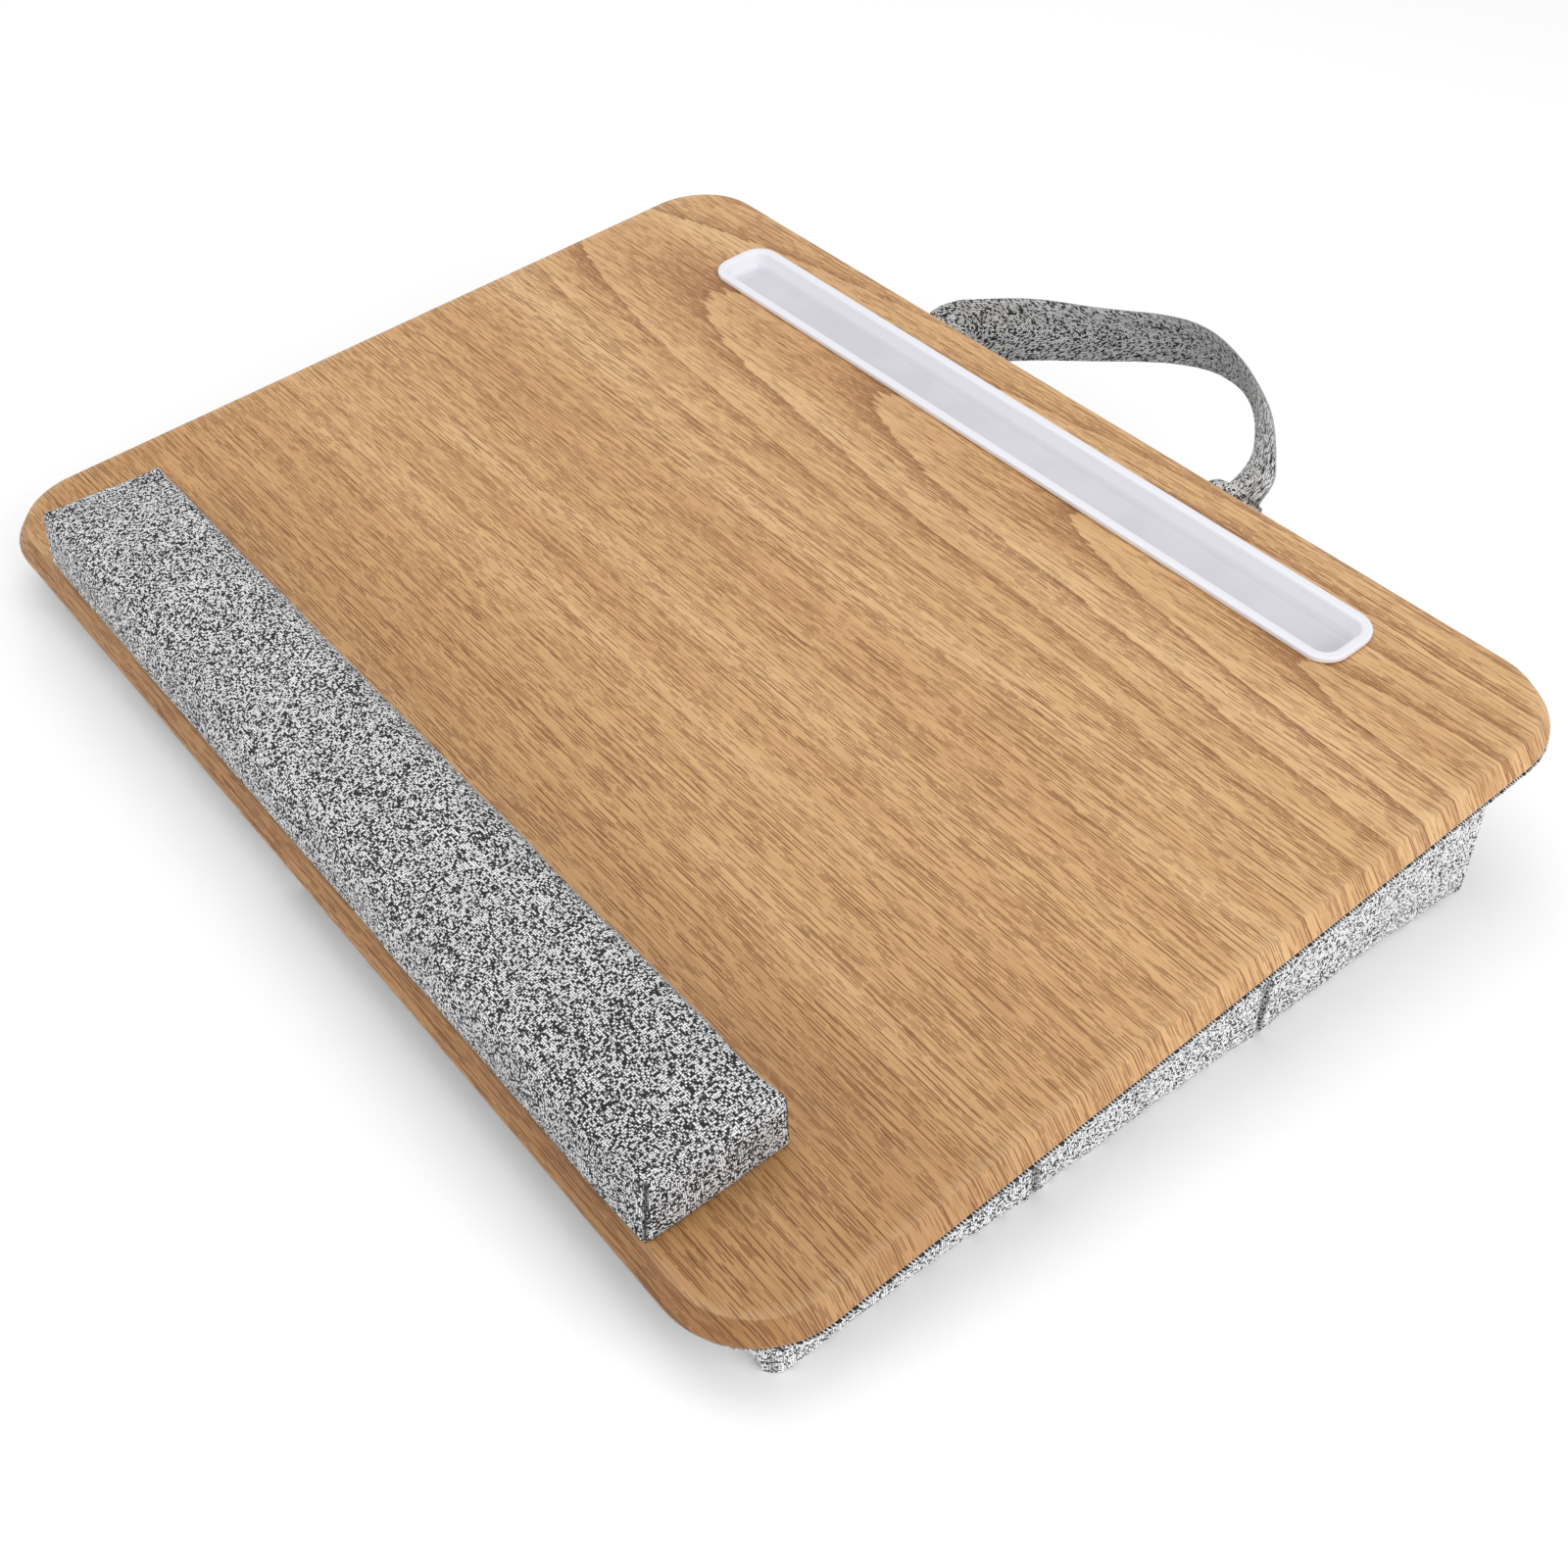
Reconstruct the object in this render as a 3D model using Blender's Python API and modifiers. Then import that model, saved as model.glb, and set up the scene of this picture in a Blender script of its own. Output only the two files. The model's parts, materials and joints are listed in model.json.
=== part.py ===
"""Laptop bed desk: a film-wrapped board with a phone slot and a wrist rest, held at a slope by
six fabric pods filled with foam, with a carry strap behind it. Metres, +Z up, the user sits on
the -Y side and the pods stand on the floor at z = 0."""

import math

import bmesh
import bpy
from mathutils import Vector

# Board, in its own frame: x across, y from the front edge, z from its top
BOARD_WIDTH = 0.450
BOARD_DEPTH = 0.340
BOARD_THICKNESS = 0.0069
BOARD_CORNER_RADIUS = 0.031
BEVEL_INSET = 0.00405
EDGE_LAND = 0.0014
FILM_THICKNESS = 0.0004
CORNER_SEGMENTS = 8

# Stance: how far the floor lies below the board's top at its front edge, and the slope
FRONT_HEIGHT = 0.0250
WEDGE_ANGLE = math.radians(7.9)

# Gap between pieces that touch
SEAT_GAP = 0.0003

# Phone slot: a tray whose rim lies on the board
TRAY_LENGTH = 0.3233
TRAY_WIDTH = 0.0280
TRAY_CORNER_RADIUS = 0.0095
TRAY_BACK_MARGIN = 0.02145
TRAY_SHIFT = -0.0007
TRAY_RIM_WIDTH = 0.0040
TRAY_RIM_THICKNESS = 0.0019
TRAY_LEDGE = 0.0018
TRAY_FLOOR = 0.0012
TRAY_DRAFT = 0.0018
TRAY_EDGE_RADIUS = 0.0008

# Cloth of the covers
CLOTH_THICKNESS = 0.0012

# Wrist rest, glued on a little to the right of the middle
REST_LENGTH = 0.3596
REST_WIDTH = 0.0468
REST_HEIGHT = 0.0215
REST_FRONT_MARGIN = 0.0048
REST_SHIFT = 0.002
REST_CORNER_RADIUS = 0.0030
REST_EDGE_RADIUS = 0.0040
REST_CROWN = 0.0007
REST_BELLY = 0.0004
REST_DRAW_IN = 0.0003
REST_BASE_THICKNESS = 0.0010

# Cloth under the board, with its rolled hem
BASE_CLOTH_THICKNESS = 0.0010
HEM_RADIUS = 0.0012
HEM_MARGIN = -0.0005

# Cushion pods: two columns and three rows
POD_SIDE_MARGIN = 0.0055
POD_FRONT_MARGIN_LEFT = 0.0025
POD_FRONT_MARGIN_RIGHT = 0.0120
POD_REAR_MARGIN = 0.0365
POD_COLUMN_GAP = 0.006
POD_ROW_GAP = 0.0045
FRONT_ROW_END = 0.1035
MIDDLE_ROW_DEPTH = 0.0905
POD_CORNER_RADIUS = 0.0050
POD_LEFT_FRONT_CORNER_RADIUS = 0.024
POD_EDGE_RADIUS = 0.0042
POD_CROWN = 0.0010
POD_FLAT = 0.0005
POD_BELLY = 0.0008
POD_DRAW_IN = 0.0007

# Carry strap
STRAP_WIDTH = 0.025
STRAP_THICKNESS = 0.0018
STRAP_SPAN = 0.150
STRAP_REACH = 0.056
STRAP_SEWN_LENGTH = 0.030
STRAP_EDGE_CLEARANCE = 0.0020
STRAP_STRAIGHT_END = 0.012
STRAP_SAMPLES = 5

# The strap between its ends: (across, as a share of half the span; out and rise, as shares of
# the reach; lean of the width from flat, in degrees)
STRAP_STATIONS = (
    (-1.000, 0.000, 0.000, 0),
    (-1.000, 0.090, 0.000, 4),
    (-0.930, 0.250, -0.040, 26),
    (-0.745, 0.423, -0.035, 79),
    (-0.430, 0.723, 0.020, 92),
    (-0.093, 0.974, 0.080, 102),
    (0.252, 1.000, 0.120, 102),
    (0.592, 0.830, 0.137, 100),
    (0.835, 0.552, 0.130, 82),
    (0.990, 0.197, 0.087, 37),
    (1.000, 0.090, 0.018, 4),
    (1.000, 0.000, 0.000, 0),
)

# Worked out from the sizes above
SKIN = FILM_THICKNESS + SEAT_GAP
BOARD_BOTTOM = -BOARD_THICKNESS
CLOTH_TOP = BOARD_BOTTOM - SEAT_GAP
CLOTH_BOTTOM = CLOTH_TOP - BASE_CLOTH_THICKNESS
HEM_INSET = HEM_MARGIN + HEM_RADIUS
HEM_HEIGHT = CLOTH_TOP - HEM_RADIUS
POD_TOP = CLOTH_BOTTOM - SEAT_GAP
TRAY_Y = BOARD_DEPTH - TRAY_BACK_MARGIN - TRAY_WIDTH / 2
REST_Y = REST_FRONT_MARGIN + REST_WIDTH / 2
PIVOT_Y = BOARD_DEPTH + STRAP_EDGE_CLEARANCE
PIVOT_Z = HEM_HEIGHT - HEM_RADIUS - SEAT_GAP - STRAP_THICKNESS / 2


def clear_scene():
    for item in list(bpy.data.objects):
        bpy.data.objects.remove(item, do_unlink=True)


def collection(name):
    made = bpy.data.collections.new(name)
    bpy.context.scene.collection.children.link(made)
    return made


def material(name, colour, roughness):
    made = bpy.data.materials.new(name)
    made.use_nodes = True
    made.diffuse_color = (*colour, 1.0)
    shader = made.node_tree.nodes["Principled BSDF"]
    shader.inputs["Base Color"].default_value = (*colour, 1.0)
    shader.inputs["Roughness"].default_value = roughness
    shader.inputs["Metallic"].default_value = 0.0
    return made


def empty(name, parent=None, location=(0, 0, 0), rotation=(0, 0, 0)):
    made = bpy.data.objects.new(name, None)
    made.parent = parent
    made.location = location
    made.rotation_euler = rotation
    parts.objects.link(made)
    return made


def finish(name, bm, parent, surface, location=(0, 0, 0), where=None):
    """Turns the bmesh into a named object with its material, under its parent."""
    bm.normal_update()
    bmesh.ops.recalc_face_normals(bm, faces=bm.faces)
    mesh = bpy.data.meshes.new(name)
    bm.to_mesh(mesh)
    bm.free()
    if surface:
        mesh.materials.append(surface)
    mesh.shade_smooth()
    mesh.set_sharp_from_angle(angle=math.radians(35))
    made = bpy.data.objects.new(name, mesh)
    made.parent = parent
    made.location = location
    (where or parts).objects.link(made)
    return made


def solidify(item, thickness):
    shell = item.modifiers.new("shell", "SOLIDIFY")
    shell.thickness = thickness
    shell.offset = -1
    shell.use_even_offset = True


def cut(item, cutter):
    boolean = item.modifiers.new("slot", "BOOLEAN")
    boolean.operation = "DIFFERENCE"
    boolean.object = cutter


def upright(edge):
    return abs(edge.verts[0].co.z - edge.verts[1].co.z) > 0.5 * edge.calc_length()


def faces_at(bm, height):
    return [f for f in bm.faces if all(abs(v.co.z - height) < 1e-6 for v in f.verts)]


def rounded_plate(width, depth, bottom, top, radius, segments=CORNER_SEGMENTS):
    """A box centred in x and y, with its upright edges rounded."""
    bm = bmesh.new()
    bmesh.ops.create_cube(bm, size=1.0)
    bmesh.ops.scale(bm, vec=(width, depth, top - bottom), verts=bm.verts)
    bmesh.ops.translate(bm, vec=(0, 0, (top + bottom) / 2), verts=bm.verts)
    corners = [e for e in bm.edges if upright(e)]
    bmesh.ops.bevel(bm, geom=corners, offset=radius, segments=segments, profile=0.5, affect="EDGES")
    return bm


def inset(bm, height, inward, depth):
    """Insets the flat face at one height, and moves the inner face along its normal."""
    faces = faces_at(bm, height)
    bmesh.ops.inset_region(bm, faces=faces, thickness=inward, depth=depth, use_even_offset=True)


def board_form(skin):
    """The board's outline with its bevel, set inwards by a skin's thickness all round."""
    slope = math.atan2(BEVEL_INSET, BOARD_THICKNESS - EDGE_LAND)
    land_top = BOARD_BOTTOM + EDGE_LAND - skin * math.tan(slope / 2)
    bevel_inward = BEVEL_INSET - skin * (1 - math.tan((math.pi / 2 - slope) / 2))
    width = BOARD_WIDTH - 2 * skin
    depth = BOARD_DEPTH - 2 * skin
    bm = rounded_plate(width, depth, BOARD_BOTTOM, land_top, BOARD_CORNER_RADIUS - skin)
    inset(bm, land_top, bevel_inward, -skin - land_top)
    return bm


def make_board(frame):
    middle = (0, BOARD_DEPTH / 2, 0)
    play = TRAY_LEDGE - SEAT_GAP
    slot_form = rounded_plate(
        TRAY_LENGTH - 2 * play, TRAY_WIDTH - 2 * play, 2 * BOARD_BOTTOM, BOARD_THICKNESS,
        TRAY_CORNER_RADIUS - play, segments=6,
    )
    slot = finish("slot_cutter", slot_form, frame, None, (TRAY_SHIFT, TRAY_Y, 0), cutters)
    slot.hide_render = True
    slot.display_type = "WIRE"

    core = finish("board_core", board_form(SKIN), frame, mdf, middle)
    cut(core, slot)

    skin_form = board_form(0)
    bmesh.ops.delete(skin_form, geom=faces_at(skin_form, BOARD_BOTTOM), context="FACES")
    film = finish("oak_film", skin_form, frame, oak, middle)
    solidify(film, FILM_THICKNESS)
    cut(film, slot)


def make_tray(frame):
    rim_top = SEAT_GAP + TRAY_RIM_THICKNESS
    bm = rounded_plate(TRAY_LENGTH, TRAY_WIDTH, SEAT_GAP, rim_top, TRAY_CORNER_RADIUS, segments=6)
    inset(bm, rim_top, TRAY_RIM_WIDTH, 0)
    inner = min(faces_at(bm, rim_top), key=lambda f: len(f.verts) == 4)
    rim_edges = [e for e in inner.edges]
    outer_edges = [
        e for e in bm.edges
        if all(abs(v.co.z - rim_top) < 1e-6 for v in e.verts)
        and any(abs(f.normal.z) < 0.5 for f in e.link_faces)
    ]
    trough = bmesh.ops.inset_region(
        bm, faces=[inner], thickness=TRAY_DRAFT, depth=BOARD_BOTTOM + TRAY_FLOOR - rim_top,
        use_even_offset=True,
    )
    inset(bm, SEAT_GAP, TRAY_LEDGE, 0)
    under = max(faces_at(bm, SEAT_GAP), key=lambda f: len(f.verts))
    bmesh.ops.inset_region(
        bm, faces=[under], thickness=TRAY_DRAFT / 4, depth=SEAT_GAP - BOARD_BOTTOM,
        use_even_offset=True,
    )
    bmesh.ops.bevel(
        bm, geom=rim_edges + outer_edges, offset=TRAY_EDGE_RADIUS, segments=2, profile=0.5,
        affect="EDGES",
    )
    finish("slot_tray", bm, frame, plastic, (TRAY_SHIFT, TRAY_Y, 0))


def soft_box(width, depth, height, corner_radius, edge_radius, cuts, left_front_radius=None):
    """A box centred in x and y that stands on z = 0. Its faces are split into a grid, and its
    upright edges and the edges of its upper end are rounded."""
    bm = bmesh.new()
    bmesh.ops.create_cube(bm, size=1.0)
    bmesh.ops.scale(bm, vec=(width, depth, height), verts=bm.verts)
    bmesh.ops.translate(bm, vec=(0, 0, height / 2), verts=bm.verts)
    for axis, count in enumerate(cuts):
        along = [
            e for e in bm.edges
            if abs(e.verts[0].co[axis] - e.verts[1].co[axis]) > 0.9 * e.calc_length()
        ]
        bmesh.ops.subdivide_edges(bm, edges=along, cuts=count, use_grid_fill=True)
    corners = [e for e in bm.edges if upright(e) and e.calc_face_angle() > 1.0]
    odd = [e for e in corners if left_front_radius and max(v.co.x for v in e.verts) < 0
           and max(v.co.y for v in e.verts) < 0]
    usual = [e for e in corners if e not in odd]
    bmesh.ops.bevel(bm, geom=usual, offset=corner_radius, segments=3, profile=0.5, affect="EDGES")
    if odd:
        bmesh.ops.bevel(
            bm, geom=odd, offset=left_front_radius, segments=5, profile=0.5, affect="EDGES",
        )
    brim = [
        e for e in bm.edges
        if all(abs(v.co.z - height) < 1e-6 for v in e.verts) and e.calc_face_angle() > 1.0
    ]
    bmesh.ops.bevel(bm, geom=brim, offset=edge_radius, segments=3, profile=0.5, affect="EDGES")
    return bm


def swell(bm, width, depth, height, belly, draw_in):
    """Fills the sides out between the corners, and draws them in towards z = 0."""
    for v in bm.verts:
        across = 2 * v.co.x / width
        along = 2 * v.co.y / depth
        tuck = draw_in * (1 - v.co.z / height) ** 2
        v.co.x += across * (belly * (1 - along ** 2) - tuck)
        v.co.y += along * (belly * (1 - across ** 2) - tuck)


def crown_at(point, width, depth):
    across = min(1.0, abs(2 * point.x / width))
    along = min(1.0, abs(2 * point.y / depth))
    return (1 - across ** 2) * (1 - along ** 2)


def rest_form(inward):
    """The wrist rest, or what fits inside it, set inwards from its outer surface."""
    width = REST_LENGTH - 2 * (REST_BELLY + inward)
    depth = REST_WIDTH - 2 * (REST_BELLY + inward)
    height = REST_HEIGHT - REST_CROWN - SEAT_GAP - inward
    bm = soft_box(width, depth, height, REST_CORNER_RADIUS - inward, REST_EDGE_RADIUS - inward,
                  (7, 2, 1))
    swell(bm, width, depth, height, REST_BELLY, REST_DRAW_IN)
    for v in bm.verts:
        v.co.z += REST_CROWN * crown_at(v.co, width, depth) * v.co.z / height
    return bm


def make_wrist_rest(frame):
    place = (REST_SHIFT, REST_Y, SEAT_GAP)
    cover_form = rest_form(0)
    bmesh.ops.delete(cover_form, geom=faces_at(cover_form, 0), context="FACES")
    cover = finish("wrist_cover", cover_form, frame, grey_cloth, place)
    solidify(cover, CLOTH_THICKNESS)

    inside = CLOTH_THICKNESS + SEAT_GAP
    lost = 2 * (inside + REST_BELLY + REST_DRAW_IN)
    base_form = rounded_plate(
        REST_LENGTH - lost, REST_WIDTH - lost, 0, REST_BASE_THICKNESS,
        REST_CORNER_RADIUS - inside, segments=3,
    )
    finish("wrist_base", base_form, frame, board_grey, place)

    foam_form = rest_form(inside)
    lift = REST_BASE_THICKNESS + SEAT_GAP
    for v in foam_form.verts:
        v.co.z = max(v.co.z, lift)
    finish("wrist_foam", foam_form, frame, foam, place)


def outline(width, depth, radius, segments):
    """The points of a rounded rectangle, centred, counter-clockwise."""
    points = []
    for quarter, (side_x, side_y) in enumerate(((1, 1), (-1, 1), (-1, -1), (1, -1))):
        for step in range(segments + 1):
            turn = math.pi / 2 * (quarter + step / segments)
            points.append((
                side_x * (width / 2 - radius) + radius * math.cos(turn),
                side_y * (depth / 2 - radius) + radius * math.sin(turn),
            ))
    return points


def make_base_cloth(frame):
    margin = HEM_INSET + HEM_RADIUS + SEAT_GAP
    cloth_form = rounded_plate(
        BOARD_WIDTH - 2 * margin, BOARD_DEPTH - 2 * margin, CLOTH_BOTTOM, CLOTH_TOP,
        BOARD_CORNER_RADIUS - margin,
    )
    finish("base_cloth", cloth_form, frame, grey_cloth, (0, BOARD_DEPTH / 2, 0))

    curve = bpy.data.curves.new("hem_roll", "CURVE")
    curve.dimensions = "3D"
    curve.bevel_depth = HEM_RADIUS
    curve.bevel_resolution = 2
    points = outline(
        BOARD_WIDTH - 2 * HEM_INSET, BOARD_DEPTH - 2 * HEM_INSET,
        BOARD_CORNER_RADIUS - HEM_INSET, CORNER_SEGMENTS,
    )
    spline = curve.splines.new("POLY")
    spline.points.add(len(points) - 1)
    for point, (x, y) in zip(spline.points, points):
        point.co = (x, y, 0, 1)
    spline.use_cyclic_u = True
    curve.materials.append(dark_cloth)
    hem = bpy.data.objects.new("hem_roll", curve)
    hem.parent = frame
    hem.location = (0, BOARD_DEPTH / 2, HEM_HEIGHT)
    parts.objects.link(hem)


def pod_form(width, depth, middle_y, inward, left_front_radius=None):
    """One pod, or the foam inside it: level on the floor, and cut to the board's slope on top."""
    base_width = width - 2 * (POD_BELLY + inward)
    base_depth = depth - 2 * (POD_BELLY + inward)
    corner_radius = POD_CORNER_RADIUS - inward
    edge_radius = POD_EDGE_RADIUS - inward
    height = FRONT_HEIGHT
    if left_front_radius:
        left_front_radius -= inward
    bm = soft_box(
        base_width, base_depth, height, corner_radius, edge_radius, (3, 2, 1), left_front_radius,
    )
    swell(bm, base_width, base_depth, height, POD_BELLY, POD_DRAW_IN)
    for v in bm.verts:
        floor = -FRONT_HEIGHT - math.tan(WEDGE_ANGLE) * (middle_y + v.co.y)
        lowest = floor + inward
        side_foot = lowest + POD_CROWN - POD_FLAT + edge_radius
        rise = height - v.co.z
        if rise > edge_radius:
            share = (rise - edge_radius) / (height - edge_radius)
            level = side_foot + share * (POD_TOP - side_foot)
        else:
            level = side_foot - edge_radius + rise
            level -= POD_CROWN * crown_at(v.co, base_width, base_depth)
        v.co.z = max(level, lowest)
    return bm


def make_pods(frame):
    column_width = (BOARD_WIDTH - 2 * POD_SIDE_MARGIN - POD_COLUMN_GAP) / 2
    middle_start = FRONT_ROW_END + POD_ROW_GAP
    rear_start = middle_start + MIDDLE_ROW_DEPTH + POD_ROW_GAP
    rows = (
        ("front", (POD_FRONT_MARGIN_LEFT, POD_FRONT_MARGIN_RIGHT), FRONT_ROW_END),
        ("middle", (middle_start, middle_start), middle_start + MIDDLE_ROW_DEPTH),
        ("rear", (rear_start, rear_start), BOARD_DEPTH - POD_REAR_MARGIN),
    )
    columns = (("left", -1), ("right", 1))
    for row, starts, end in rows:
        for (column, side), start in zip(columns, starts):
            depth = end - start
            middle_y = start + depth / 2
            place = (side * (POD_COLUMN_GAP + column_width) / 2, middle_y, 0)
            name = f"{row}_{column}"
            follows_board = name == "front_left"
            corner = POD_LEFT_FRONT_CORNER_RADIUS if follows_board else None

            cover_form = pod_form(column_width, depth, middle_y, 0, corner)
            bmesh.ops.delete(cover_form, geom=faces_at(cover_form, POD_TOP), context="FACES")
            cover = finish(f"pod_cover_{name}", cover_form, frame, grey_cloth, place)
            solidify(cover, CLOTH_THICKNESS)

            inside = CLOTH_THICKNESS + SEAT_GAP
            foam_form = pod_form(column_width, depth, middle_y, inside, corner)
            finish(f"pod_foam_{name}", foam_form, frame, foam, place)


def smooth_path(stations, samples):
    """Points on a Catmull-Rom curve through the stations."""
    first = [2 * a - b for a, b in zip(stations[0], stations[1])]
    last = [2 * a - b for a, b in zip(stations[-1], stations[-2])]
    line = [first, *stations, last]
    points = []
    for a, b, c, d in zip(line, line[1:], line[2:], line[3:]):
        for step in range(samples):
            t = step / samples
            points.append([
                0.5 * (2 * q + (r - p) * t + (2 * p - 5 * q + 4 * r - s) * t ** 2
                       + (3 * q - p - 3 * r + s) * t ** 3)
                for p, q, r, s in zip(a, b, c, d)
            ])
    points.append(list(stations[-1]))
    return points


def ribbon(sections):
    """A flat band lofted through (centre, width direction, along, half thickness) sections."""
    bm = bmesh.new()
    rings = []
    for centre, across, along, half in sections:
        up = along.cross(across).normalized() * half
        side = across * (STRAP_WIDTH / 2)
        corner = across * (STRAP_WIDTH / 2 - half / 2)
        ring = [
            centre + side - up / 2, centre + side + up / 2, centre + corner + up,
            centre - corner + up, centre - side + up / 2, centre - side - up / 2,
            centre - corner - up, centre + corner - up,
        ]
        rings.append([bm.verts.new(point) for point in ring])
    for near, far in zip(rings, rings[1:]):
        for i in range(len(near)):
            j = (i + 1) % len(near)
            bm.faces.new((near[i], near[j], far[j], far[i]))
    bm.faces.new(rings[0])
    bm.faces.new(reversed(rings[-1]))
    return bm


def strap_sections():
    """The strap's loop about its pivot: flat at both ends, on edge in between."""
    stations = [
        (across * STRAP_SPAN / 2, out * STRAP_REACH, rise * STRAP_REACH, math.radians(lean))
        for across, out, rise, lean in STRAP_STATIONS
    ]
    path = smooth_path(stations, STRAP_SAMPLES)
    centres = [Vector(p[:3]) for p in path]
    steps = [0.0] + [(b - a).length for a, b in zip(centres, centres[1:])]
    travelled = [sum(steps[:i + 1]) for i in range(len(steps))]
    sections = []
    for i, (centre, point) in enumerate(zip(centres, path)):
        along = centres[min(i + 1, len(centres) - 1)] - centres[max(i - 1, 0)]
        from_end = min(travelled[i], travelled[-1] - travelled[i])
        free = min(1.0, from_end / STRAP_STRAIGHT_END)
        straight = Vector((0, 1 if i < len(centres) / 2 else -1, 0))
        along = straight.lerp(along.normalized(), free).normalized()
        outward = Vector((-along.y, along.x, 0)).normalized()
        across = outward * math.cos(point[3]) + Vector((0, 0, 1)) * math.sin(point[3])
        across = (across - along * across.dot(along)).normalized()
        sections.append((centre, across, along, STRAP_THICKNESS / 2))
    return sections


def rounded_end(section, towards):
    """Extra sections that round a strap's end about the pivot line."""
    centre, across, along, half = section
    extra = []
    for degrees in (70, 40):
        turn = math.radians(degrees)
        shift = along * (towards * half * math.cos(turn))
        extra.append((centre + shift, across, along, half * math.sin(turn)))
    return extra


def make_strap(frame):
    pivot = empty("handle_pivot", frame, (0, PIVOT_Y, PIVOT_Z))
    sections = strap_sections()
    start = list(reversed(rounded_end(sections[0], -1)))
    end = rounded_end(sections[-1], 1)
    finish("handle_strap", ribbon(start + sections + end), pivot, strap_cloth)

    half = STRAP_THICKNESS / 2
    sewn_z = CLOTH_BOTTOM - SEAT_GAP - half
    bend = 2 * (sewn_z - PIVOT_Z)
    tip = PIVOT_Y - half - SEAT_GAP
    hem_inner = BOARD_DEPTH - HEM_INSET - HEM_RADIUS
    bend_end = hem_inner - SEAT_GAP
    profile = (
        (bend_end - bend - STRAP_SEWN_LENGTH, sewn_z),
        (bend_end - bend, sewn_z),
        (bend_end - bend / 2, (sewn_z + PIVOT_Z) / 2),
        (bend_end, PIVOT_Z),
        (tip, PIVOT_Z),
    )
    for side, sign in (("left", -1), ("right", 1)):
        sections = [
            (Vector((0, y, z)), Vector((1, 0, 0)), Vector((0, 1, 0)), half) for y, z in profile
        ]
        place = (sign * STRAP_SPAN / 2, 0, 0)
        finish(f"strap_end_{side}", ribbon(sections), frame, strap_cloth, place)


def centre_on_origin(frame):
    """Slides the desk so that the middle of its whole depth lies over the origin."""
    bpy.context.view_layer.update()
    graph = bpy.context.evaluated_depsgraph_get()
    reach = []
    for item in parts.objects:
        if item.type != "EMPTY":
            shape = item.evaluated_get(graph)
            reach += [(item.matrix_world @ v.co).y for v in shape.to_mesh().vertices]
            shape.to_mesh_clear()
    frame.location.y = -(min(reach) + max(reach)) / 2


clear_scene()
parts = collection("laptop_bed_desk")
cutters = collection("cutters")

oak = material("oak_film", (0.60, 0.36, 0.16), 0.45)
mdf = material("mdf", (0.45, 0.32, 0.20), 0.80)
plastic = material("white_plastic", (0.86, 0.86, 0.90), 0.25)
grey_cloth = material("grey_cloth", (0.36, 0.36, 0.38), 0.95)
dark_cloth = material("hem_cloth", (0.18, 0.18, 0.20), 0.95)
strap_cloth = material("strap_cloth", (0.24, 0.24, 0.25), 0.95)
foam = material("foam", (0.85, 0.80, 0.62), 0.90)
board_grey = material("base_board", (0.35, 0.34, 0.33), 0.85)

desk = empty("desk_frame", None, (0, 0, FRONT_HEIGHT * math.cos(WEDGE_ANGLE)), (WEDGE_ANGLE, 0, 0))
make_board(desk)
make_tray(desk)
make_wrist_rest(desk)
make_base_cloth(desk)
make_pods(desk)
make_strap(desk)
centre_on_origin(desk)
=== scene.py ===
# Laptop bed desk: the looks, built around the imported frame
import json
import math

import bmesh
import bpy
import numpy as np
from mathutils import Matrix, Vector, noise


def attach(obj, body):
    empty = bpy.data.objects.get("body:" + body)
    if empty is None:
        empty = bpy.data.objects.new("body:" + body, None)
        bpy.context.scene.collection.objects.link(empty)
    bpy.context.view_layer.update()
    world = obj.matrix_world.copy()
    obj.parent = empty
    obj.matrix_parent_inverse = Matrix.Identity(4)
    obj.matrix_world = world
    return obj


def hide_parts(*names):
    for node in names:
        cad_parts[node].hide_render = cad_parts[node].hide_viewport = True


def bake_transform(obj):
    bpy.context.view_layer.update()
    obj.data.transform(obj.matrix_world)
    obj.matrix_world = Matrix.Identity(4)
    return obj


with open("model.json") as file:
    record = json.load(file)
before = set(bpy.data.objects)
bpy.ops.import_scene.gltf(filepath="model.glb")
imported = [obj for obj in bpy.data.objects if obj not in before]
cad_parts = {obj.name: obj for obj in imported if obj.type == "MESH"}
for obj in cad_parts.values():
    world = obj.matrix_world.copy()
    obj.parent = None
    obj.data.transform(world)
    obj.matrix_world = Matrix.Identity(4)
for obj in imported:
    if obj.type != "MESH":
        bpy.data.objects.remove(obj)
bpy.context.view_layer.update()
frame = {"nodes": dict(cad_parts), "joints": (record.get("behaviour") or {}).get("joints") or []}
scene = bpy.context.scene
nodes = frame["nodes"]
print("frame loaded")

# Board coordinates: x across, y from the front edge, z from the board's top
desk = {
    "width": 0.45,
    "depth": 0.34,
    "middle": (0.0, 0.170),
    "thickness": 0.0069,
    "cornerRadius": 0.031,
    "slope": math.radians(7.9),
    "frontHeight": 0.025,
    "hinge": (0.0, 0.3420, -0.0108),
}
tilt = Matrix.Rotation(desk["slope"], 4, "X")
hingeWorld = Vector(frame["joints"][0]["pos_m"])
deskPlace = Matrix.Translation(hingeWorld - tilt @ Vector(desk["hinge"])) @ tilt
farFromSeam = 0.05  # for cloth that has no seam near


def floorAt(y):
    return -desk["frontHeight"] - math.tan(desk["slope"]) * y


# Building blocks

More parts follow.
